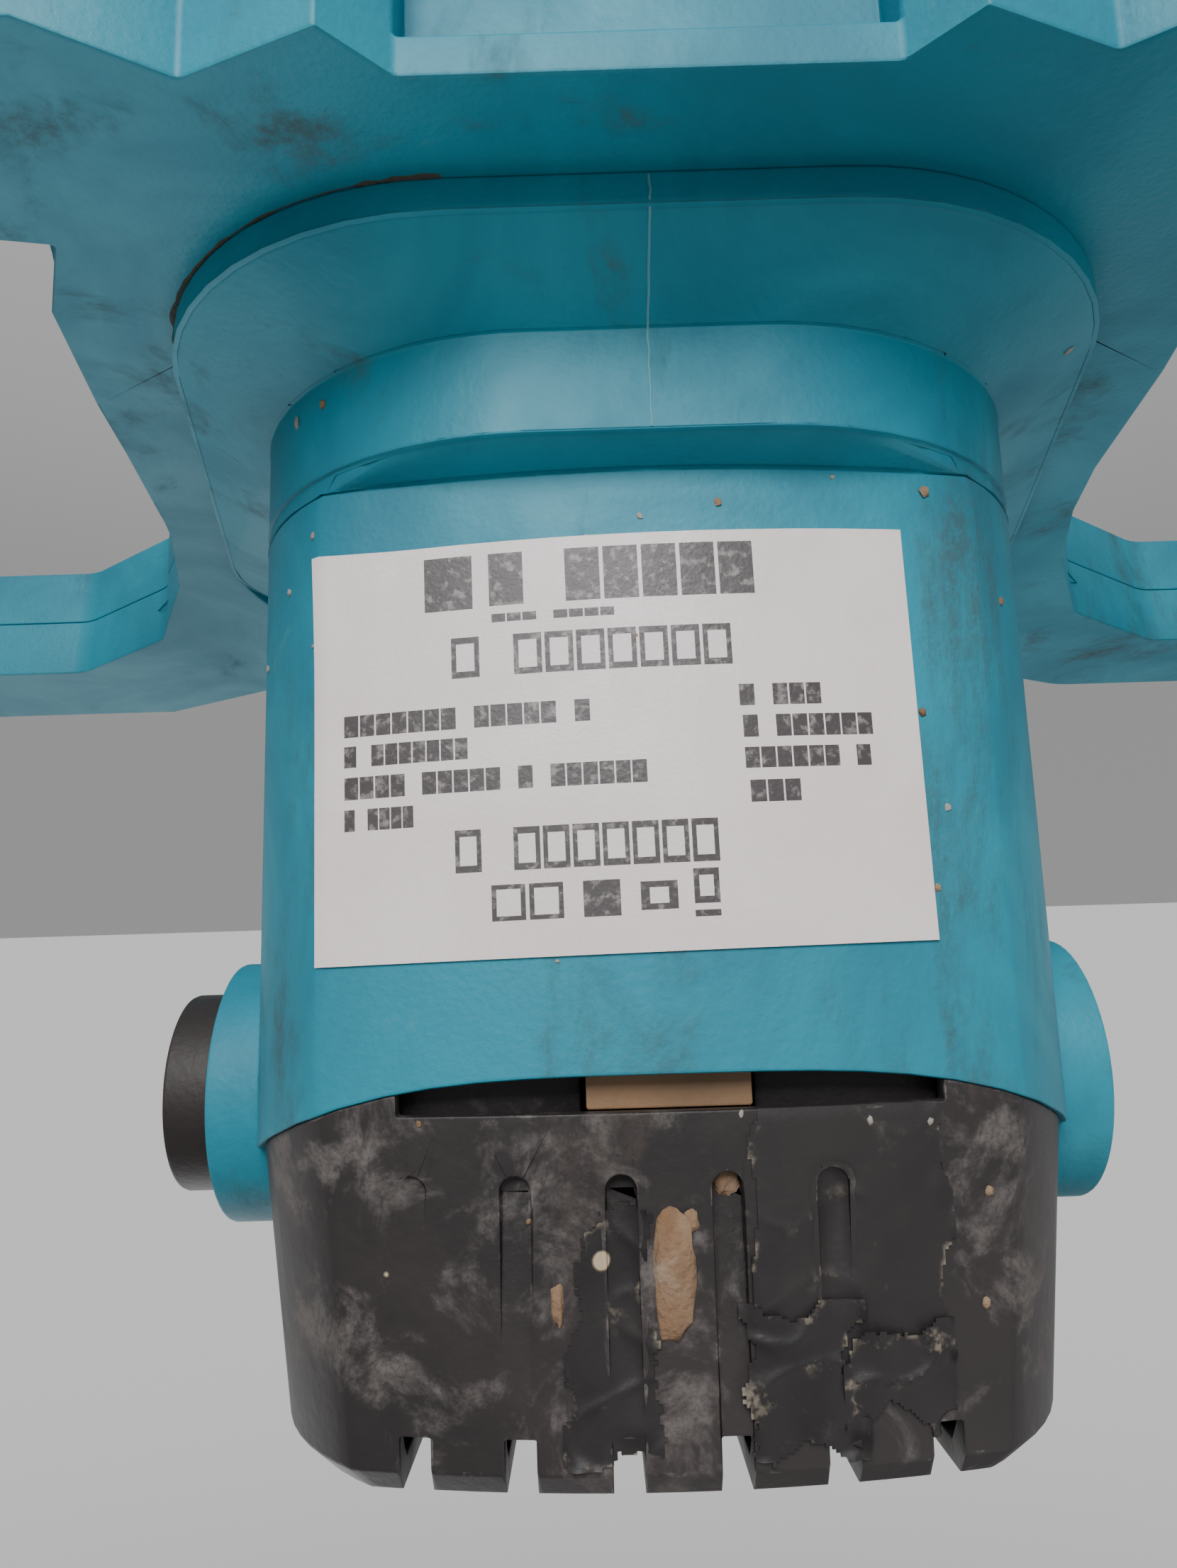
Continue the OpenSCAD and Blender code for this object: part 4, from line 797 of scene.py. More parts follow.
@dataclass
class RoundedParts:
    """Finished copies of the hard parts, with real fillets on their edges."""

    bench: Bench
    plans: tuple[Rounding, ...] = (
        Rounding("motor_housing", 0.45), Rounding("top_cap", 0.3), Rounding("brush_cap_left", 0.6),
        Rounding("brush_cap_right", 0.3), Rounding("frame_upper_shell", 0.5),
        Rounding("frame_lower_shell", 0.5), Rounding("gear_case", 0.9),
        Rounding("gear_case_cover", 0.5),
        Rounding("trigger", 0.9), Rounding("lock_button", 0.6), Rounding("speed_dial", 0.35),
        Rounding("case_bolts", 0.4), Rounding("cap_screws", 0.2), Rounding("frame_screws", 0.2),
        Rounding("spindle", 0.5), Rounding("commutator_bracket", 0.3),
        Rounding("paddle_upper_rod", 0.7),
        Rounding("paddle_lower_rod", 0.7), Rounding("paddle_ring", 0.2, 60.0),
        Rounding("paddle_ribbons", 0.7),
        Rounding("cooling_fan", 0.3), Rounding("switch_body", 0.5), Rounding("speed_module", 0.3))
    stray_share: float = 0.45
    merge_gap: float = 2e-6
    flat_angle: float = 0.7
    smooth_angle: float = 34.0
    made: dict[str, bpy.types.Object] = field(default_factory=dict)

    def build(self) -> None:
        """Rounds every planned node."""
        slots = record_slots()
        bodies = {n: b for b, members in frame["record"]["behaviour"]["bodies"].items()
                  for n in members}
        for plan in self.plans:
            piece = self.round_off(plan)
            self.bench.hand_over(piece, plan.node + "_finished", bodies[plan.node], slots[plan.node],
                                 replaced=(plan.node,))
            self.made[plan.node] = piece

    def round_off(self, plan: Rounding) -> bpy.types.Object:
        """Copies a node, merges it and rounds its edges.

        Args:
            plan: the node and its rounding.

        Returns:
            The rounded copy, with its rounded faces marked for wear.
        """
        piece = copy_node(plan.node)
        self.bench.only(piece)
        bpy.ops.mesh.customdata_custom_splitnormals_clear()
        bpy.ops.object.mode_set(mode="EDIT")
        bpy.ops.mesh.select_all(action="SELECT")
        bpy.ops.mesh.remove_doubles(threshold=self.merge_gap)
        bpy.ops.mesh.dissolve_limited(angle_limit=math.radians(self.flat_angle))
        bpy.ops.mesh.select_mode(type="FACE")
        bpy.ops.mesh.select_all(action="DESELECT")
        bpy.ops.mesh.select_face_by_sides(number=4, type="GREATER")
        bpy.ops.mesh.quads_convert_to_tris(quad_method="BEAUTY", ngon_method="BEAUTY")
        bpy.ops.object.mode_set(mode="OBJECT")
        piece.data.materials.clear()
        for _ in range(2):
            piece.data.materials.append(None)
        piece.data.polygons.foreach_set("material_index", [0] * len(piece.data.polygons))
        self.bench.apply(piece, "BEVEL", width=plan.width * MM, segments=2, limit_method="ANGLE",
                         angle_limit=math.radians(plan.angle), use_clamp_overlap=False, material=1,
                         miter_outer="MITER_ARC")
        self.pull_in(piece, frame["nodes"][plan.node], plan.width * MM)
        self.mark_wear(piece)
        self.bench.soften(piece, self.smooth_angle)
        self.bench.apply(piece, "WEIGHTED_NORMAL", weight=100, keep_sharp=True)
        return piece

    def pull_in(self, piece: bpy.types.Object, original: bpy.types.Object, width: float) -> None:
        """Brings points that the rounding threw off the surface back to it.

        Args:
            piece: the rounded copy.
            original: the node that it was copied from.
            width: the rounding's width in metres.
        """
        surface = BVHTree.FromPolygons([point.co for point in original.data.vertices],
                                       [tuple(face.vertices) for face in original.data.polygons])
        astray = 0
        for point in piece.data.vertices:
            spot, _, _, far = surface.find_nearest(point.co)
            if far > width * self.stray_share:
                point.co = spot
                astray += 1
        LOG.info("%s: %d points brought back", piece.name, astray)

    @staticmethod
    def mark_wear(piece: bpy.types.Object) -> None:
        """Stores which faces are rounded edges, for the wear in the finish.

        Args:
            piece: the rounded copy, whose rounded faces are on its second slot.
        """
        mesh = piece.data
        rubbed = mesh.attributes.new("edge_wear", "FLOAT", "CORNER")
        values = [0.0] * len(mesh.loops)
        for face in mesh.polygons:
            if face.material_index:
                for corner in face.loop_indices:
                    values[corner] = 1.0
                face.material_index = 0
        rubbed.data.foreach_set("value", values)


@dataclass
class TapeSheet:
    """A torn sheet of tape pressed round the vented cap."""

    name: str
    x_span: tuple[float, float]
    z_span: tuple[float, float]
    seed: float
    lift: float = 0.3
    tear: float = 1.2
    wrinkle: float = 0.22
    step: float = 0.4
    thickness: float = 0.2
    groove_dip: float = 0.9
    tucked: bool = False

    def build(self, bench: Bench, cap: bpy.types.Object) -> bpy.types.Object:
        """Lays the sheet on the cap.

        Args:
            bench: the bench.
            cap: the finished cap.

        Returns:
            The sheet.
        """
        wide = int((self.x_span[1] - self.x_span[0]) / self.step) + 1
        high = int((self.z_span[1] - self.z_span[0]) / self.step) + 1
        sheet = bench.start(bpy.ops.mesh.primitive_grid_add, x_subdivisions=wide, y_subdivisions=high,
                            size=2.0)
        depth = self.press(cap, wide, high)
        worn = []
        for point in sheet.data.vertices:
            i = round((point.co.x + 1) / 2 * wide)
            j = round((point.co.y + 1) / 2 * high)
            x, z = self.place(i / wide, j / high)
            crease = noise.noise(Vector((x * 0.22, z * 0.1, self.seed)))
            fold = max(0.0, 1 - abs(noise.noise(Vector((x * 0.09, z * 0.13, self.seed + 5)))) * 7) ** 2
            rise = (self.lift + self.wrinkle * (0.7 * crease + 0.8 * fold)
                    + self.curl(i / wide, j / high))
            point.co = Vector((x, depth[i][j] - rise, z)) * MM
            worn.append(max(0.7 * fold * self.wrinkle * 2, 1 - (self.inside(x, z) + 0.1) * 1.6))
        rubbed = sheet.data.attributes.new("edge_wear", "FLOAT", "POINT")
        rubbed.data.foreach_set("value", [min(1.0, max(0.0, value)) for value in worn])
        self.tear_edges(bench, sheet)
        bench.tidy(sheet)
        self.face_front(bench, sheet)
        bench.apply(sheet, "SOLIDIFY", thickness=self.thickness * MM, offset=-1.0)
        bench.soften(sheet, 50.0)
        return sheet

    def place(self, across: float, along: float) -> tuple[float, float]:
        """Turns shares of the sheet into millimetres.

        Args:
            across: share of its width.
            along: share of its height.

        Returns:
            The x and z of that point.
        """
        return (self.x_span[0] + across * (self.x_span[1] - self.x_span[0]),
                self.z_span[0] + along * (self.z_span[1] - self.z_span[0]))

    def curl(self, across: float, along: float) -> float:
        """Lifts the sheet's free edges a little.

        Args:
            across: share of its width.
            along: share of its height.

        Returns:
            The extra lift in millimetres.
        """
        edge = min(across, 1 - across, 1 - along)
        loose = max(0.0, noise.noise(Vector((across * 5, along * 5, self.seed + 9))) + 0.15)
        return 1.3 * loose * max(0.0, 1 - edge * 12) ** 2

    def press(self, cap: bpy.types.Object, wide: int, high: int) -> list[list[float]]:
        """Finds how far back the sheet lies at each point, dipping into the grooves.

        Args:
            cap: the finished cap.
            wide: steps across.
            high: steps along.

        Returns:
            The y of every point in millimetres.
        """
        rows = []
        for i in range(wide + 1):
            row = []
            for j in range(high + 1):
                x, z = self.place(i / wide, j / high)
                hit, spot, _, _ = cap.ray_cast(Vector((x, -90, z)) * MM, Vector((0, 1, 0)))
                row.append(spot.y / MM if hit else 0.0)
            rows.append(row)
        reach = 5
        front = [[min(rows[k][j] for k in range(max(0, i - reach), min(wide, i + reach) + 1))
                  for j in range(high + 1)] for i in range(wide + 1)]
        dipped = [[min(rows[i][j], front[i][j] + self.groove_dip) for j in range(high + 1)]
                  for i in range(wide + 1)]
        for _ in range(3):
            dipped = [[sum(dipped[k][m] for k in (max(0, i - 1), i, min(wide, i + 1))
                           for m in (max(0, j - 1), j, min(high, j + 1))) / 9
                       for j in range(high + 1)] for i in range(wide + 1)]
        return dipped

    def inside(self, x: float, z: float) -> float:
        """Tells how far inside the torn outline a point lies.

        Args:
            x: the point's x in millimetres.
            z: the point's z in millimetres.

        Returns:
            The distance in millimetres, below zero outside.
        """
        ragged = self.tear * (0.6 + 1.6 * noise.noise(Vector((x * 0.16, z * 0.16, self.seed))) +
                              0.35 * noise.noise(Vector((x * 0.9, z * 0.9, self.seed + 3))))
        edge = min(x - self.x_span[0], self.x_span[1] - x, self.z_span[1] - z)
        if not self.tucked:
            edge = min(edge, z - self.z_span[0])
        return edge - ragged

    def tear_edges(self, bench: Bench, sheet: bpy.types.Object) -> None:
        """Cuts the sheet's outline to a torn one.

        Args:
            bench: the bench.
            sheet: the sheet.
        """
        bench.only(sheet)
        bpy.ops.object.mode_set(mode="EDIT")
        bpy.ops.mesh.select_mode(type="FACE")
        bpy.ops.mesh.select_all(action="DESELECT")
        bpy.ops.object.mode_set(mode="OBJECT")
        for face in sheet.data.polygons:
            face.select = self.inside(face.center.x / MM, face.center.z / MM) < 0
        bpy.ops.object.mode_set(mode="EDIT")
        bpy.ops.mesh.delete(type="FACE")
        bpy.ops.object.mode_set(mode="OBJECT")

    @staticmethod
    def face_front(bench: Bench, sheet: bpy.types.Object) -> None:
        """Turns an open sheet's faces away from the spindle.

        Args:
            bench: the bench.
            sheet: the sheet.
        """
        mean = sum(face.normal.y for face in sheet.data.polygons)
        if mean > 0:
            bench.only(sheet)
            bpy.ops.object.mode_set(mode="EDIT")
            bpy.ops.mesh.select_all(action="SELECT")
            bpy.ops.mesh.flip_normals()
            bpy.ops.object.mode_set(mode="OBJECT")


@dataclass
class CapDressing:
    """The tape on the vented cap and the dark walls behind its slot, which are painted shade for the
    inside of the cap.
    """

    bench: Bench
    sheets: tuple[TapeSheet, ...] = (
        TapeSheet("cap_tape_right", (-29.8, -7.4), (119.8, 147.0), 1.7, lift=0.14, wrinkle=0.16,
                  groove_dip=1.3, tucked=True),
        TapeSheet("cap_tape_flap", (-19.4, -6.2), (139.5, 155.5), 4.4, lift=0.5, tear=2.2, wrinkle=0.5),
        TapeSheet("cap_tape_fold", (-29.0, -16.8), (142.0, 154.0), 6.1, lift=0.5, tear=2.2,
                  wrinkle=0.6),
        TapeSheet("cap_tape_left", (0.8, 12.4), (129.0, 155.5), 8.2, lift=0.2, tear=2.4, wrinkle=0.3))

    def build(self, cap: bpy.types.Object) -> None:
        """Lays the sheets and sets the dark walls that paint the shade behind the slot.

        Args:
            cap: the finished cap.
        """
        for sheet in self.sheets:
            piece = sheet.build(self.bench, cap)
            self.bench.hand_over(piece, sheet.name, "motor_unit", "black_nylon", "black_tape")
        for side, span in (("left", (9.6, 30.0)), ("right", (-30.0, -9.6))):
            self.add_shade_wall(side, span)

    def add_shade_wall(self, side: str, span: tuple[float, float]) -> None:
        """Sets a dark wall behind the slot as painted shade, so the slot shows black instead of the lit
        holder inside.

        Args:
            side: which side it is on.
            span: where it runs along X, in millimetres.
        """
        low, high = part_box("top_cap")[0].z / MM - 6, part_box("top_cap")[0].z / MM + 8
        # painted shade: a black wall behind the slot hides the lit inside of the cap
        wall = self.bench.start(bpy.ops.mesh.primitive_cube_add, size=1.0, location=(
            sum(span) / 2 * MM, -34.2 * MM, (low + high) / 2 * MM))
        wall.scale = ((span[1] - span[0]) * MM, 1.4 * MM, (high - low) * MM)
        self.bench.settle(wall)
        self.bench.apply(wall, "BEVEL", width=0.4 * MM, segments=2)
        self.bench.soften(wall)
        self.bench.hand_over(wall, f"slot_shade_wall_{side}", "motor_unit", "black_nylon")


@dataclass
class RatingLabel:
    """The printed film on the front panel, with generic marks and a lifted corner."""

    bench: Bench
    housing: bpy.types.Object
    steps: int = 72
    turn: float = 0.8
    curl: float = 1.3
    gap: float = 0.1
    thickness: float = 0.22

    def build(self) -> None:
        """Makes the film on the housing's front."""
        low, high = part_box("rating_label")
        film = self.bench.start(bpy.ops.mesh.primitive_grid_add, x_subdivisions=self.steps,
                                y_subdivisions=self.steps, size=2.0, calc_uvs=True)
        middle, half = (low + high) / 2, (high - low) / 2
        lean = math.radians(self.turn)
        for point in film.data.vertices:
            u, v = point.co.x, point.co.y
            x = middle.x + u * half.x * math.cos(lean) + v * half.z * math.sin(lean)
            z = middle.z - v * half.z * math.cos(lean) + u * half.x * math.sin(lean)
            _, spot, _, _ = self.housing.ray_cast(Vector((x, -0.09, z)), Vector((0, 1, 0)))
            corner = max(0.0, (u - 0.8) * 3.0 + (v - 0.7) * 1.6)
            ripple = abs(noise.noise(Vector((u * 3, v * 3, 1.5))))
            rise = self.gap + self.curl * corner ** 1.5 + 0.05 * ripple
            point.co = Vector((x, spot.y - (rise + self.thickness) * MM, z))
        TapeSheet.face_front(self.bench, film)
        self.bench.apply(film, "SOLIDIFY", thickness=self.thickness * MM, offset=-1.0)
        self.bench.soften(film, 60.0)
        self.bench.hand_over(film, "rating_label_film", "motor_unit", "label_film", "label_print",
                             ("rating_label",))


@dataclass
class Ledger:
    """Places on the motor end, in millimetres, where grains and lumps of mortar stuck."""

    lumps: tuple[tuple[float, float, float, float, float], ...] = (
        # x, z, half width, half height, thickness
        (0.6, 135.8, 2.3, 6.2, 1.1), (-5.4, 126.6, 1.5, 2.3, 0.7), (-1.5, 131.0, 0.9, 1.2, 0.5),
        (12.6, 139.0, 0.7, 2.2, 0.5), (-20.0, 147.2, 1.4, 0.8, 0.5))
    grains: tuple[tuple[float, float, float], ...] = (
        # x, z, radius
        (38.5, 36.0, 0.55), (-8.2, 52.0, 0.5), (-33.0, 50.2, 0.7), (-30.5, 77.0, 0.55),
        (5.6, 95.5, 0.45), (-30.6, 97.0, 0.45), (1.8, 67.8, 0.6), (-2.4, 70.0, 0.35),
        (-3.8, 67.0, 0.3), (27.0, 85.0, 0.3), (-34.0, 129.5, 0.55), (-33.0, 141.0, 0.6),
        (6.0, 132.5, 0.4), (15.5, 131.0, 0.4), (27.0, 120.5, 0.35), (-43.0, 62.0, 0.5))


@dataclass
class MortarBits:
    """Lumps, grains and crumbs of dried mortar on the motor end."""

    bench: Bench
    motor_parts: list[bpy.types.Object]
    ledger: Ledger = field(default_factory=Ledger)
    crumbs: int = 70

    def build(self) -> None:
        """Sticks every bit on."""
        lumps = [self.blob((x, z), w, h, t, seed)
                 for seed, (x, z, w, h, t) in enumerate(self.ledger.lumps)]
        self.give(lumps, "mortar_lumps", "mortar_tan")
        grains = [self.blob((x, z), r, r * 1.2, r * 0.8, 20 + seed, 1)
                  for seed, (x, z, r) in enumerate(self.ledger.grains)]
        self.give(grains, "mortar_grains", "mortar_tan")
        self.give(self.scatter(), "mortar_crumbs", "mortar_grey")

    def give(self, parts: list[bpy.types.Object], name: str, finish: str) -> None:
        """Joins bits and mounts them.

        Args:
            parts: the bits.
            name: the joined piece's name.
            finish: its material.
        """
        piece = self.bench.join(parts)
        self.bench.settle(piece)
        self.bench.soften(piece, 60.0)
        self.bench.hand_over(piece, name, "motor_unit", "teal_nylon", finish)

    def touch(self, start: Vector, way: Vector) -> tuple[Vector, Vector] | None:
        """Finds where a line first meets the motor end.

        Args:
            start: where the line starts.
            way: its direction.

        Returns:
            The point and the surface's normal, or None.
        """
        best = None
        for part in self.motor_parts:
            hit, spot, normal, _ = part.ray_cast(start, way)
            if hit and (best is None or (spot - start).length < (best[0] - start).length):
                best = (spot, normal)
        return best

    def blob(self, place: tuple[float, float], w: float, h: float, t: float, seed: int,
             detail: int = 3) -> bpy.types.Object:
        """Makes one lump on the front.

        Args:
            place: its x and z in millimetres.
            w: half its width.
            h: half its height.
            t: its thickness.
            seed: what makes its shape its own.
            detail: how finely it is divided.

        Returns:
            The lump.
        """
        found = self.touch(Vector((place[0], -95, place[1])) * MM, Vector((0, 1, 0)))
        spot, normal = found if found else (Vector((place[0], -45, place[1])) * MM, Vector((0, -1, 0)))
        return self.lump_at(spot, normal, w, h, t, seed, detail)

    def lump_at(self, spot: Vector, normal: Vector, w: float, h: float, t: float, seed: int,
                detail: int) -> bpy.types.Object:
        """Makes one lump on a surface.

        Args:
            spot: the point on the surface.
            normal: the surface's normal there.
            w: half its width in millimetres.
            h: half its height in millimetres.
            t: its thickness in millimetres.
            seed: what makes its shape its own.
            detail: how finely it is divided.

        Returns:
            The lump.
        """
        lump = self.bench.start(bpy.ops.mesh.primitive_ico_sphere_add, subdivisions=detail, radius=1.0)
        turn = normal.to_track_quat("Z", "Y")
        for point in lump.data.vertices:
            rough = 1 + 0.42 * noise.noise(point.co * 1.3 + Vector((seed * 3.1, 0, 0)))
            rough += 0.16 * noise.noise(point.co * 4.2 + Vector((0, seed * 1.7, 0)))
            shaped = Vector((point.co.x * w, point.co.y * h, point.co.z * t)) * rough * MM
            point.co = spot + turn @ shaped
        return lump

    def scatter(self) -> list[bpy.types.Object]:
        """Scatters crumbs round the motor, the cap and the frame.

        Returns:
            The crumbs.
        """
        draw = random.Random(11)
        parts = []
        for seed in range(self.crumbs):
            angle, z = draw.uniform(0, math.tau), draw.uniform(-20, 156)
            start = Vector((math.sin(angle) * 120, -math.cos(angle) * 130, z)) * MM
            aim = Vector((draw.uniform(-30, 30), draw.uniform(-25, 25), z + draw.uniform(-25, 5))) * MM
            found = self.touch(start, (aim - start).normalized())
            size = draw.uniform(0.25, 0.6)
            if found:
                parts.append(self.lump_at(*found, size, size * draw.uniform(0.8, 1.7), size * 0.6,
                                          100 + seed, 1))
        return parts


@dataclass
class FlangeGrime:
    """The bead of dirt packed in the corner where the motor's flange meets the frame."""

    bench: Bench
    front_reach: float = 58.5
    front_radius: float = 40.0
    front_half: float = 61.5
    back_reach: float = 80.0
    back_radius: float = 34.0
    back_half: float = 75.0
    seam_z: float = 22.0
    points_per_arc: int = 40
    sides: int = 10

    def outline(self) -> list[tuple[float, float]]:
        """Walks round the flange's rim.

        Returns:
            The rim's points in millimetres.
        """
        discs = ((self.front_half - self.front_radius, self.front_radius - self.front_reach,
                  self.front_radius, -90, 0),
                 (self.back_half - self.back_radius, self.back_reach - self.back_radius,
                  self.back_radius, 0, 90))
        half = []
        for x, y, r, first, last in discs:
            for i in range(self.points_per_arc + 1):
                a = math.radians(first + (last - first) * i / self.points_per_arc)
                half.append((x + r * math.cos(a), y + r * math.sin(a)))
        dense = []
        loop = half + [(-x, y) for x, y in reversed(half)]
        for (x0, y0), (x1, y1) in zip(loop, loop[1:] + loop[:1]):
            count = max(1, int(math.dist((x0, y0), (x1, y1)) / 0.9))
            dense += [(x0 + (x1 - x0) * k / count, y0 + (y1 - y0) * k / count) for k in range(count)]
        return dense

    def build(self) -> None:
        """Makes the bead as a closed, uneven tube."""
        path = self.outline()
        count = len(path)
        bead = self.bench.start(bpy.ops.mesh.primitive_torus_add, major_segments=count,
                                minor_segments=self.sides, major_radius=1.0, minor_radius=0.1)
        for point in bead.data.vertices:
            i, k = divmod(point.index, self.sides)
            x, y = path[i]
            ahead = Vector(path[(i + 1) % count]) - Vector(path[i - 1])
            out = Vector((ahead.y, -ahead.x)).normalized()
            size = 0.22 + 0.5 * noise.noise(Vector((x * 0.07, y * 0.07, 2.0)))
            size = max(0.06, size + 0.3 * noise.noise(Vector((x * 0.6, y * 0.6, 6.0))))
            a = math.tau * k / self.sides
            reach = size * 1.5 * math.cos(a)
            point.co = Vector((x + out.x * reach, y + out.y * reach,
                               self.seam_z + size * 0.5 * math.sin(a))) * MM
        self.bench.tidy(bead)
        self.bench.soften(bead, 60.0)
        self.bench.hand_over(bead, "flange_grime", "motor_unit", "teal_nylon", "brown_dirt")


@dataclass
class FlashLine:
    """The thin mould line down the front of the flange and collar."""

    bench: Bench
    housing: bpy.types.Object
    x: float = -0.6
    z_span: tuple[float, float] = (22.5, 45.0)
    half_width: float = 0.16
    height: float = 0.16

    def build(self) -> None:
        """Lays the line on the housing's front."""
        count = int((self.z_span[1] - self.z_span[0]) / 0.4)
        line = self.bench.start(bpy.ops.mesh.primitive_grid_add, x_subdivisions=4,
                                y_subdivisions=count, size=2.0)
        for point in line.data.vertices:
            z = self.z_span[0] + (point.co.y + 1) / 2 * (self.z_span[1] - self.z_span[0])
            wander = 0.12 * noise.noise(Vector((0, 0, z * 0.6)))
            x = self.x + wander + point.co.x * self.half_width
            _, spot, normal, _ = self.housing.ray_cast(Vector((x, -90, z)) * MM, Vector((0, 1, 0)))
            rise = self.height * (1 - point.co.x ** 2) - 0.03
            point.co = spot + normal * rise * MM
        TapeSheet.face_front(self.bench, line)
        self.bench.apply(line, "SOLIDIFY", thickness=0.1 * MM, offset=-1.0)
        self.bench.soften(line, 60.0)
        self.bench.hand_over(line, "mould_line", "motor_unit", "teal_nylon", "flash_teal")


# ---------- handles ----------


@dataclass
class LoopFrame:
    """The tilted frame of the handle loops, in metres."""

    tilt: float = 8.0
    lift: float = 6.0

    def matrix(self) -> Matrix:
        """Gives the move from loop coordinates to the object's.

        Returns:
            The matrix.
        """
        tilt = Matrix.Rotation(math.radians(self.tilt), 4, "X")
        return Matrix.Translation((0, 0, self.lift * MM)) @ tilt


@dataclass
class Sleeves:
    """Ribbed rubber sleeves on the two grips and the ribbed boot of the cord's gland."""

    bench: Bench
    loops: LoopFrame = field(default_factory=LoopFrame)
    grip_x: float = 193.0
    bore: float = 16.05
    outer: float = 18.2
    rib: float = 0.75
    y_span: tuple[float, float] = (-40.0, 82.0)
    ribs: int = 23
    trigger_y: tuple[float, float] = (-29.5, 11.5)

    def sleeve_profile(self) -> list[tuple[float, float]]:
        """Draws half the sleeve's section.

        Returns:
            Points as distance along the grip and radius, closed round the wall.
        """
        start, end = self.y_span
        pitch = (end - start - 12) / self.ribs
        points = [(start, self.bore), (start, self.outer - 0.8), (start + 0.3, self.outer + 0.1),
                  (start + 1.2, self.outer + self.rib + 0.2),
                   (start + 4.2, self.outer + self.rib + 0.2),
                  (start + 5.2, self.outer - 0.1)]
        for i in range(self.ribs):
            y = start + 6 + i * pitch
            points += [(y + pitch * t, self.outer + self.rib * h)
                       for t, h in ((0.08, -0.15), (0.2, 0.3), (0.34, 0.92), (0.5, 1.0), (0.66, 0.92),
                                    (0.8, 0.3), (0.92, -0.15))]
        points += [(end - 5.2, self.outer - 0.1), (end - 4.2, self.outer + self.rib + 0.2),
                   (end - 1.2, self.outer + self.rib + 0.2), (end - 0.3, self.outer + 0.1),
                   (end, self.outer - 0.8), (end, self.bore)]
        return points

    def spin(self, points: list[tuple[float, float]], x: float, steps: int) -> bpy.types.Object:
        """Spins a closed section round a line along the loops' Y axis.

        Args:
            points: the section, as distance along the line and radius.
            x: where the line lies.
            steps: how many steps make a turn.

        Returns:
            The spun piece, in place.
        """
        piece = self.bench.start(bpy.ops.mesh.primitive_circle_add, vertices=len(points), radius=1.0)
        for point, (y, r) in zip(piece.data.vertices, points):
            point.co = Vector((r, y, 0)) * MM
        self.bench.only(piece)
        bpy.ops.object.mode_set(mode="EDIT")
        bpy.ops.mesh.select_all(action="SELECT")
        bpy.ops.mesh.spin(steps=steps, angle=math.tau, center=(0, 0, 0), axis=(0, 1, 0))
        bpy.ops.object.mode_set(mode="OBJECT")
        self.bench.tidy(piece, 1e-5)
        piece.matrix_world = self.loops.matrix() @ Matrix.Translation((x * MM, 0, 0))
        self.bench.settle(piece)
        return piece

    def build(self) -> None:
        """Makes both sleeves and the boot."""
        for side, sign in (("left", 1), ("right", -1)):
            sleeve = self.spin(self.sleeve_profile(), sign * self.grip_x, 56)
            if sign < 0:
                self.cut_trigger_window(sleeve)
            self.bench.soften(sleeve, 50.0)
            self.bench.hand_over(sleeve, f"grip_sleeve_{side}_ribbed", "motor_unit", "grip_rubber",
                                 replaced=(f"grip_sleeve_{side}",))
        self.build_boot()

    def cut_trigger_window(self, sleeve: bpy.types.Object) -> None:
        """Cuts the opening for the trigger.

        Args:
            sleeve: the sleeve with the trigger.
        """
        middle = sum(self.trigger_y) / 2
        tool = self.bench.start(bpy.ops.mesh.primitive_cube_add, size=1.0)
        tool.matrix_world = self.loops.matrix() @ Matrix.Translation(
            Vector((-self.grip_x + 18, middle, 0)) * MM) @ Matrix.Diagonal(
            Vector((16, self.trigger_y[1] - self.trigger_y[0], 17)) * MM).to_4x4()
        self.bench.settle(tool)
        self.bench.apply(tool, "BEVEL", width=2.5 * MM, segments=3)
        self.bench.apply(sleeve, "BOOLEAN", operation="DIFFERENCE", object=tool, solver="EXACT")
        bpy.data.objects.remove(tool)

    def build_boot(self) -> None:
        """Makes the gland's ribbed boot with its cord hole."""
        points = [(100.2, 4.5), (100.2, 9.6), (102.8, 9.6), (103.2, 8.45), (117.6, 8.45), (118.0, 9.8),
                  (120.2, 9.8), (120.8, 8.2)]
        for i in range(4):
            y, r = 122 + 3.2 * i, 7.9 - 0.3 * i
            points += [(y - 0.6, r - 0.9), (y - 0.2, r), (y + 1.4, r - 0.1), (y + 1.8, r - 1.0)]
        points += [(134.6, 6.3), (135.0, 5.8), (135.0, 4.5)]
        boot = self.spin(points, -self.grip_x, 40)
        self.bench.soften(boot, 40.0)
        self.bench.hand_over(boot, "cord_gland_boot", "motor_unit", "grip_rubber",
                             replaced=("cord_gland",))


# ---------- paddle ----------


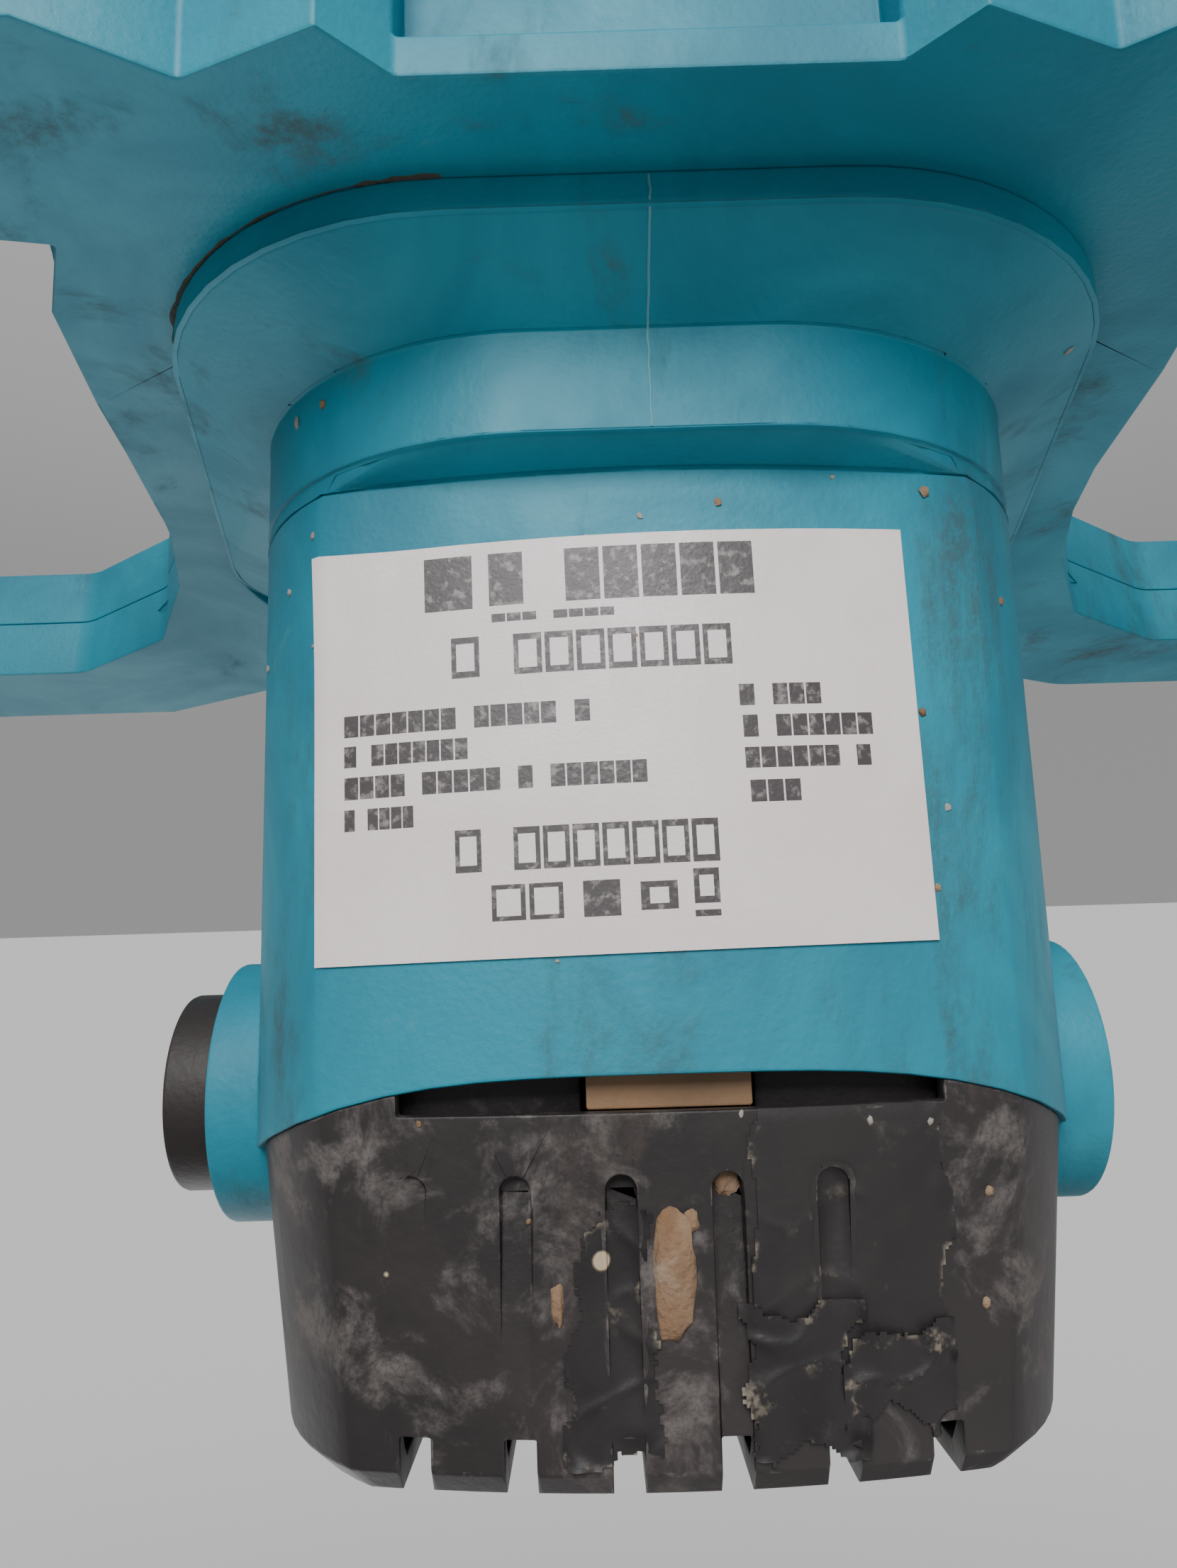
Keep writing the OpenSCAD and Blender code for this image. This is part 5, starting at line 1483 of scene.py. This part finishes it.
@dataclass
class PaddleDressing:
    """Weld beads and crusts of dried mortar on the paddle."""

    bench: Bench
    ring_parts: list[bpy.types.Object]
    spokes: int = 3
    rod_radius: float = 8.6
    ring_inside: float = 56.5
    spoke_top: float = 8.2
    ribbon_turn: float = 150.0
    weld_half: float = 3.1
    weld_radius: float = 1.25
    voxel: float = 1.3
    seed: float = 3.3

    def build(self) -> None:
        """Adds the welds and the crust."""
        self.weld()
        self.crust()

    def weld(self) -> None:
        """Lays ripples of weld where spokes and ribbons meet the rod and the ring."""
        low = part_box("paddle_ring")[0].z
        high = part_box("paddle_ribbons")[1].z
        draw = random.Random(5)
        drops = []
        for i in range(self.spokes):
            a = math.tau * i / self.spokes
            for reach in (self.rod_radius, self.ring_inside):
                for k in range(-4, 5):
                    side = self.weld_half * k / 4
                    drops.append((Vector((math.cos(a) * reach - math.sin(a) * side,
                                          math.sin(a) * reach + math.cos(a) * side,
                                          low / MM + self.spoke_top)), self.weld_radius))
            end = a + math.radians(self.ribbon_turn)
            for k in range(10):
                drops.append((Vector((math.cos(end) * self.rod_radius, math.sin(end) * self.rod_radius,
                                      high / MM - 9 + 1.1 * k)), self.weld_radius + 0.4))
        parts = []
        for n, (spot, r) in enumerate(drops):
            drop = self.bench.start(bpy.ops.mesh.primitive_ico_sphere_add, subdivisions=2,
                                    radius=r * MM * draw.uniform(0.85, 1.15), location=spot * MM)
            drop.scale = (1.0, 1.0, 0.7)
            parts.append(drop)
        for part in parts:
            self.bench.settle(part)
        beads = self.bench.join(parts)
        self.bench.soften(beads, 70.0)
        self.bench.hand_over(beads, "weld_beads", "paddle_drive", "paddle_paint")

    def crust(self) -> None:
        """Grows patches of dried mortar out of the ring, ribbons and rod."""
        copies = []
        for part in self.ring_parts:
            twin = bpy.data.objects.new("crust", part.data.copy())
            bpy.context.scene.collection.objects.link(twin)
            copies.append(twin)
        crust = self.bench.join(copies)
        self.bench.only(crust)
        bpy.ops.object.mode_set(mode="EDIT")
        bpy.ops.mesh.select_all(action="SELECT")
        bpy.ops.mesh.bisect(plane_co=(0, 0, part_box("paddle_ribbons")[1].z + 0.05), plane_no=(0, 0, 1),
                            clear_outer=True, use_fill=True)
        bpy.ops.object.mode_set(mode="OBJECT")
        self.bench.apply(crust, "REMESH", mode="VOXEL", voxel_size=self.voxel * MM)
        crust.data.update()
        low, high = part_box("paddle_ribbons")[0].z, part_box("paddle_ribbons")[1].z
        moved = []
        for point in crust.data.vertices:
            p = point.co / MM
            share = (point.co.z - low) / (high - low)
            patch = noise.noise(p * 0.035 + Vector((0, 0, self.seed))) + 0.5 * noise.noise(p * 0.11)
            fine = noise.noise(p * 0.45)
            grow = (patch - 0.12 - 0.55 * max(0.0, share)) * 3.2
            grow = max(-0.7, min(1.5, grow)) + (0.35 * fine if grow > -0.2 else 0.0)
            moved.append(point.co + point.normal * grow * MM)
        for point, spot in zip(crust.data.vertices, moved):
            point.co = spot
        self.bench.soften(crust, 60.0)
        self.bench.hand_over(crust, "mortar_crust", "paddle_drive", "paddle_paint", "mortar_grey")


# ---------- springs ----------


@dataclass(frozen=True)
class SpringPlan:
    """A coil spring that a sliding piece squashes; lengths in millimetres."""

    node: str
    joint: str
    fixed_end: float
    travel: float


@dataclass
class Springs:
    """Coil springs of the trigger and the brushes, copied from their nodes."""

    bench: Bench
    plans: tuple[SpringPlan, ...] = (
        SpringPlan("trigger_spring", "trigger_press", -189.0, 6.0),
        SpringPlan("brush_spring_left", "brush_left_slide", 51.2, 4.0),
        SpringPlan("brush_spring_right", "brush_right_slide", -51.2, 4.0))

    def build(self) -> None:
        """Copies each coil, shades it smooth and mounts it on the motor unit in place of its node."""
        slots = record_slots()
        for plan in self.plans:
            coil = copy_node(plan.node)
            low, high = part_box(plan.node)
            self.bench.soften(coil)
            self.bench.hand_over(coil, f"{plan.node}_coil", "motor_unit", slots[plan.node],
                                 replaced=(plan.node,))
            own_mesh(coil)


# ---------- stage ----------


@dataclass
class Studio:
    """Pale floor, soft lights and the camera close to the motor's cap end."""

    floor_gap: float = 0.004
    floor_size: float = 30.0
    air_level: float = 0.72
    air_front: float = 0.38
    air_overhead: float = 0.22
    spread: float = 75.0
    lens: float = 26.0
    camera_at: tuple[float, float, float] = (0.0077, -0.165, 0.1062)
    pitch: float = 9.95
    roll: float = 1.75

    def build(self) -> None:
        """Makes floor, world, lights and camera."""
        self.lay_floor()
        self.light_world()
        self.hang_light("front_soft", (0.1, -0.8, -0.4), 0.5, 1.9)
        self.hang_light("over_soft", (-1.2, -0.9, 1.8), 2.0, 2.0)
        self.hang_light("back_soft", (0.9, 1.3, 1.9), 2.4, 5.0)
        self.place_camera()

    def lay_floor(self) -> None:
        """Lays the floor just under the paddle."""
        bpy.ops.mesh.primitive_plane_add(size=self.floor_size,
                                         location=(0, 0, CAD_BOX[0].z - self.floor_gap))
        floor = bpy.context.object
        floor.name = "studio_floor"
        paint = bpy.data.materials.new("studio_white")
        paint.use_nodes = True
        shader = paint.node_tree.nodes["Principled BSDF"]
        shader.inputs["Base Color"].default_value = (0.94, 0.94, 0.94, 1.0)
        shader.inputs["Roughness"].default_value = 0.9
        floor.data.materials.append(paint)

    def light_world(self) -> None:
        """Surrounds the stage with air that is pale behind it and dims overhead."""
        world = bpy.data.worlds.new("studio_air")
        world.use_nodes = True
        sheet = NodeSheet(world.node_tree)
        way = sheet.node("ShaderNodeTexCoord").outputs["Generated"]
        split = sheet.node("ShaderNodeSeparateXYZ", Vector=way)
        steep = sheet.math("ABSOLUTE", split.outputs["Z"])
        level = sheet.ramp(split.outputs["Y"], -0.5, 0.6, self.air_front, self.air_level)
        air = world.node_tree.nodes["Background"]
        air.inputs["Color"].default_value = (1.0, 1.0, 1.0, 1.0)
        sheet.feed(air, "Strength", sheet.ramp(steep, 0.25, 0.85, level, self.air_overhead))
        bpy.context.scene.world = world

    def hang_light(self, name: str, place: tuple[float, float, float], size: float,
                   power: float) -> None:
        """Hangs a square soft light that faces the motor.

        Args:
            name: the light's name.
            place: where it hangs, in metres.
            size: the length of its side.
            power: its power in watts.
        """
        light = bpy.data.lights.new(name, "AREA")
        light.size = size
        light.energy = power
        light.spread = math.radians(self.spread)
        lamp = bpy.data.objects.new(name, light)
        bpy.context.scene.collection.objects.link(lamp)
        lamp.location = place
        lamp.rotation_euler = (Vector((0, 0, 0.08)) - Vector(place)).to_track_quat("-Z", "Y").to_euler()
        lamp.visible_camera = False

    def place_camera(self) -> None:
        """Puts the camera over the label, with the cap towards the picture's bottom."""
        tilt, turn = math.radians(self.pitch), math.radians(self.roll)
        ahead = Vector((0, math.cos(tilt), -math.sin(tilt)))
        up = Vector((0, -math.sin(tilt), -math.cos(tilt)))
        right = ahead.cross(up)
        up, right = (math.cos(turn) * up + math.sin(turn) * right,
                     math.cos(turn) * right - math.sin(turn) * up)
        data = bpy.data.cameras.new("camera")
        data.lens = self.lens
        data.sensor_width = 36.0
        data.clip_start = 0.01
        camera = bpy.data.objects.new("camera", data)
        bpy.context.scene.collection.objects.link(camera)
        camera.matrix_world = Matrix.Translation(self.camera_at) @ Matrix(
            (right, up, -ahead)).transposed().to_4x4()
        bpy.context.scene.camera = camera


def main() -> None:
    """Builds the scene in order."""
    logging.basicConfig(level=logging.INFO, format="%(message)s")
    Studio().build()
    finishes = Finishes(Effects())
    finishes.dress_cad_nodes()
    bench = Bench(finishes)
    rounded = RoundedParts(bench)
    rounded.build()
    bpy.context.view_layer.update()
    CapDressing(bench).build(rounded.made["top_cap"])
    RatingLabel(bench, rounded.made["motor_housing"]).build()
    outside = ("motor_housing", "top_cap", "frame_upper_shell", "brush_cap_left")
    MortarBits(bench, [rounded.made[name] for name in outside]).build()
    FlangeGrime(bench).build()
    FlashLine(bench, rounded.made["motor_housing"]).build()
    Sleeves(bench).build()
    crusted = ("paddle_ring", "paddle_ribbons", "paddle_lower_rod")
    PaddleDressing(bench, [rounded.made[name] for name in crusted]).build()
    Springs(bench).build()


if __name__ == "__main__":
    main()
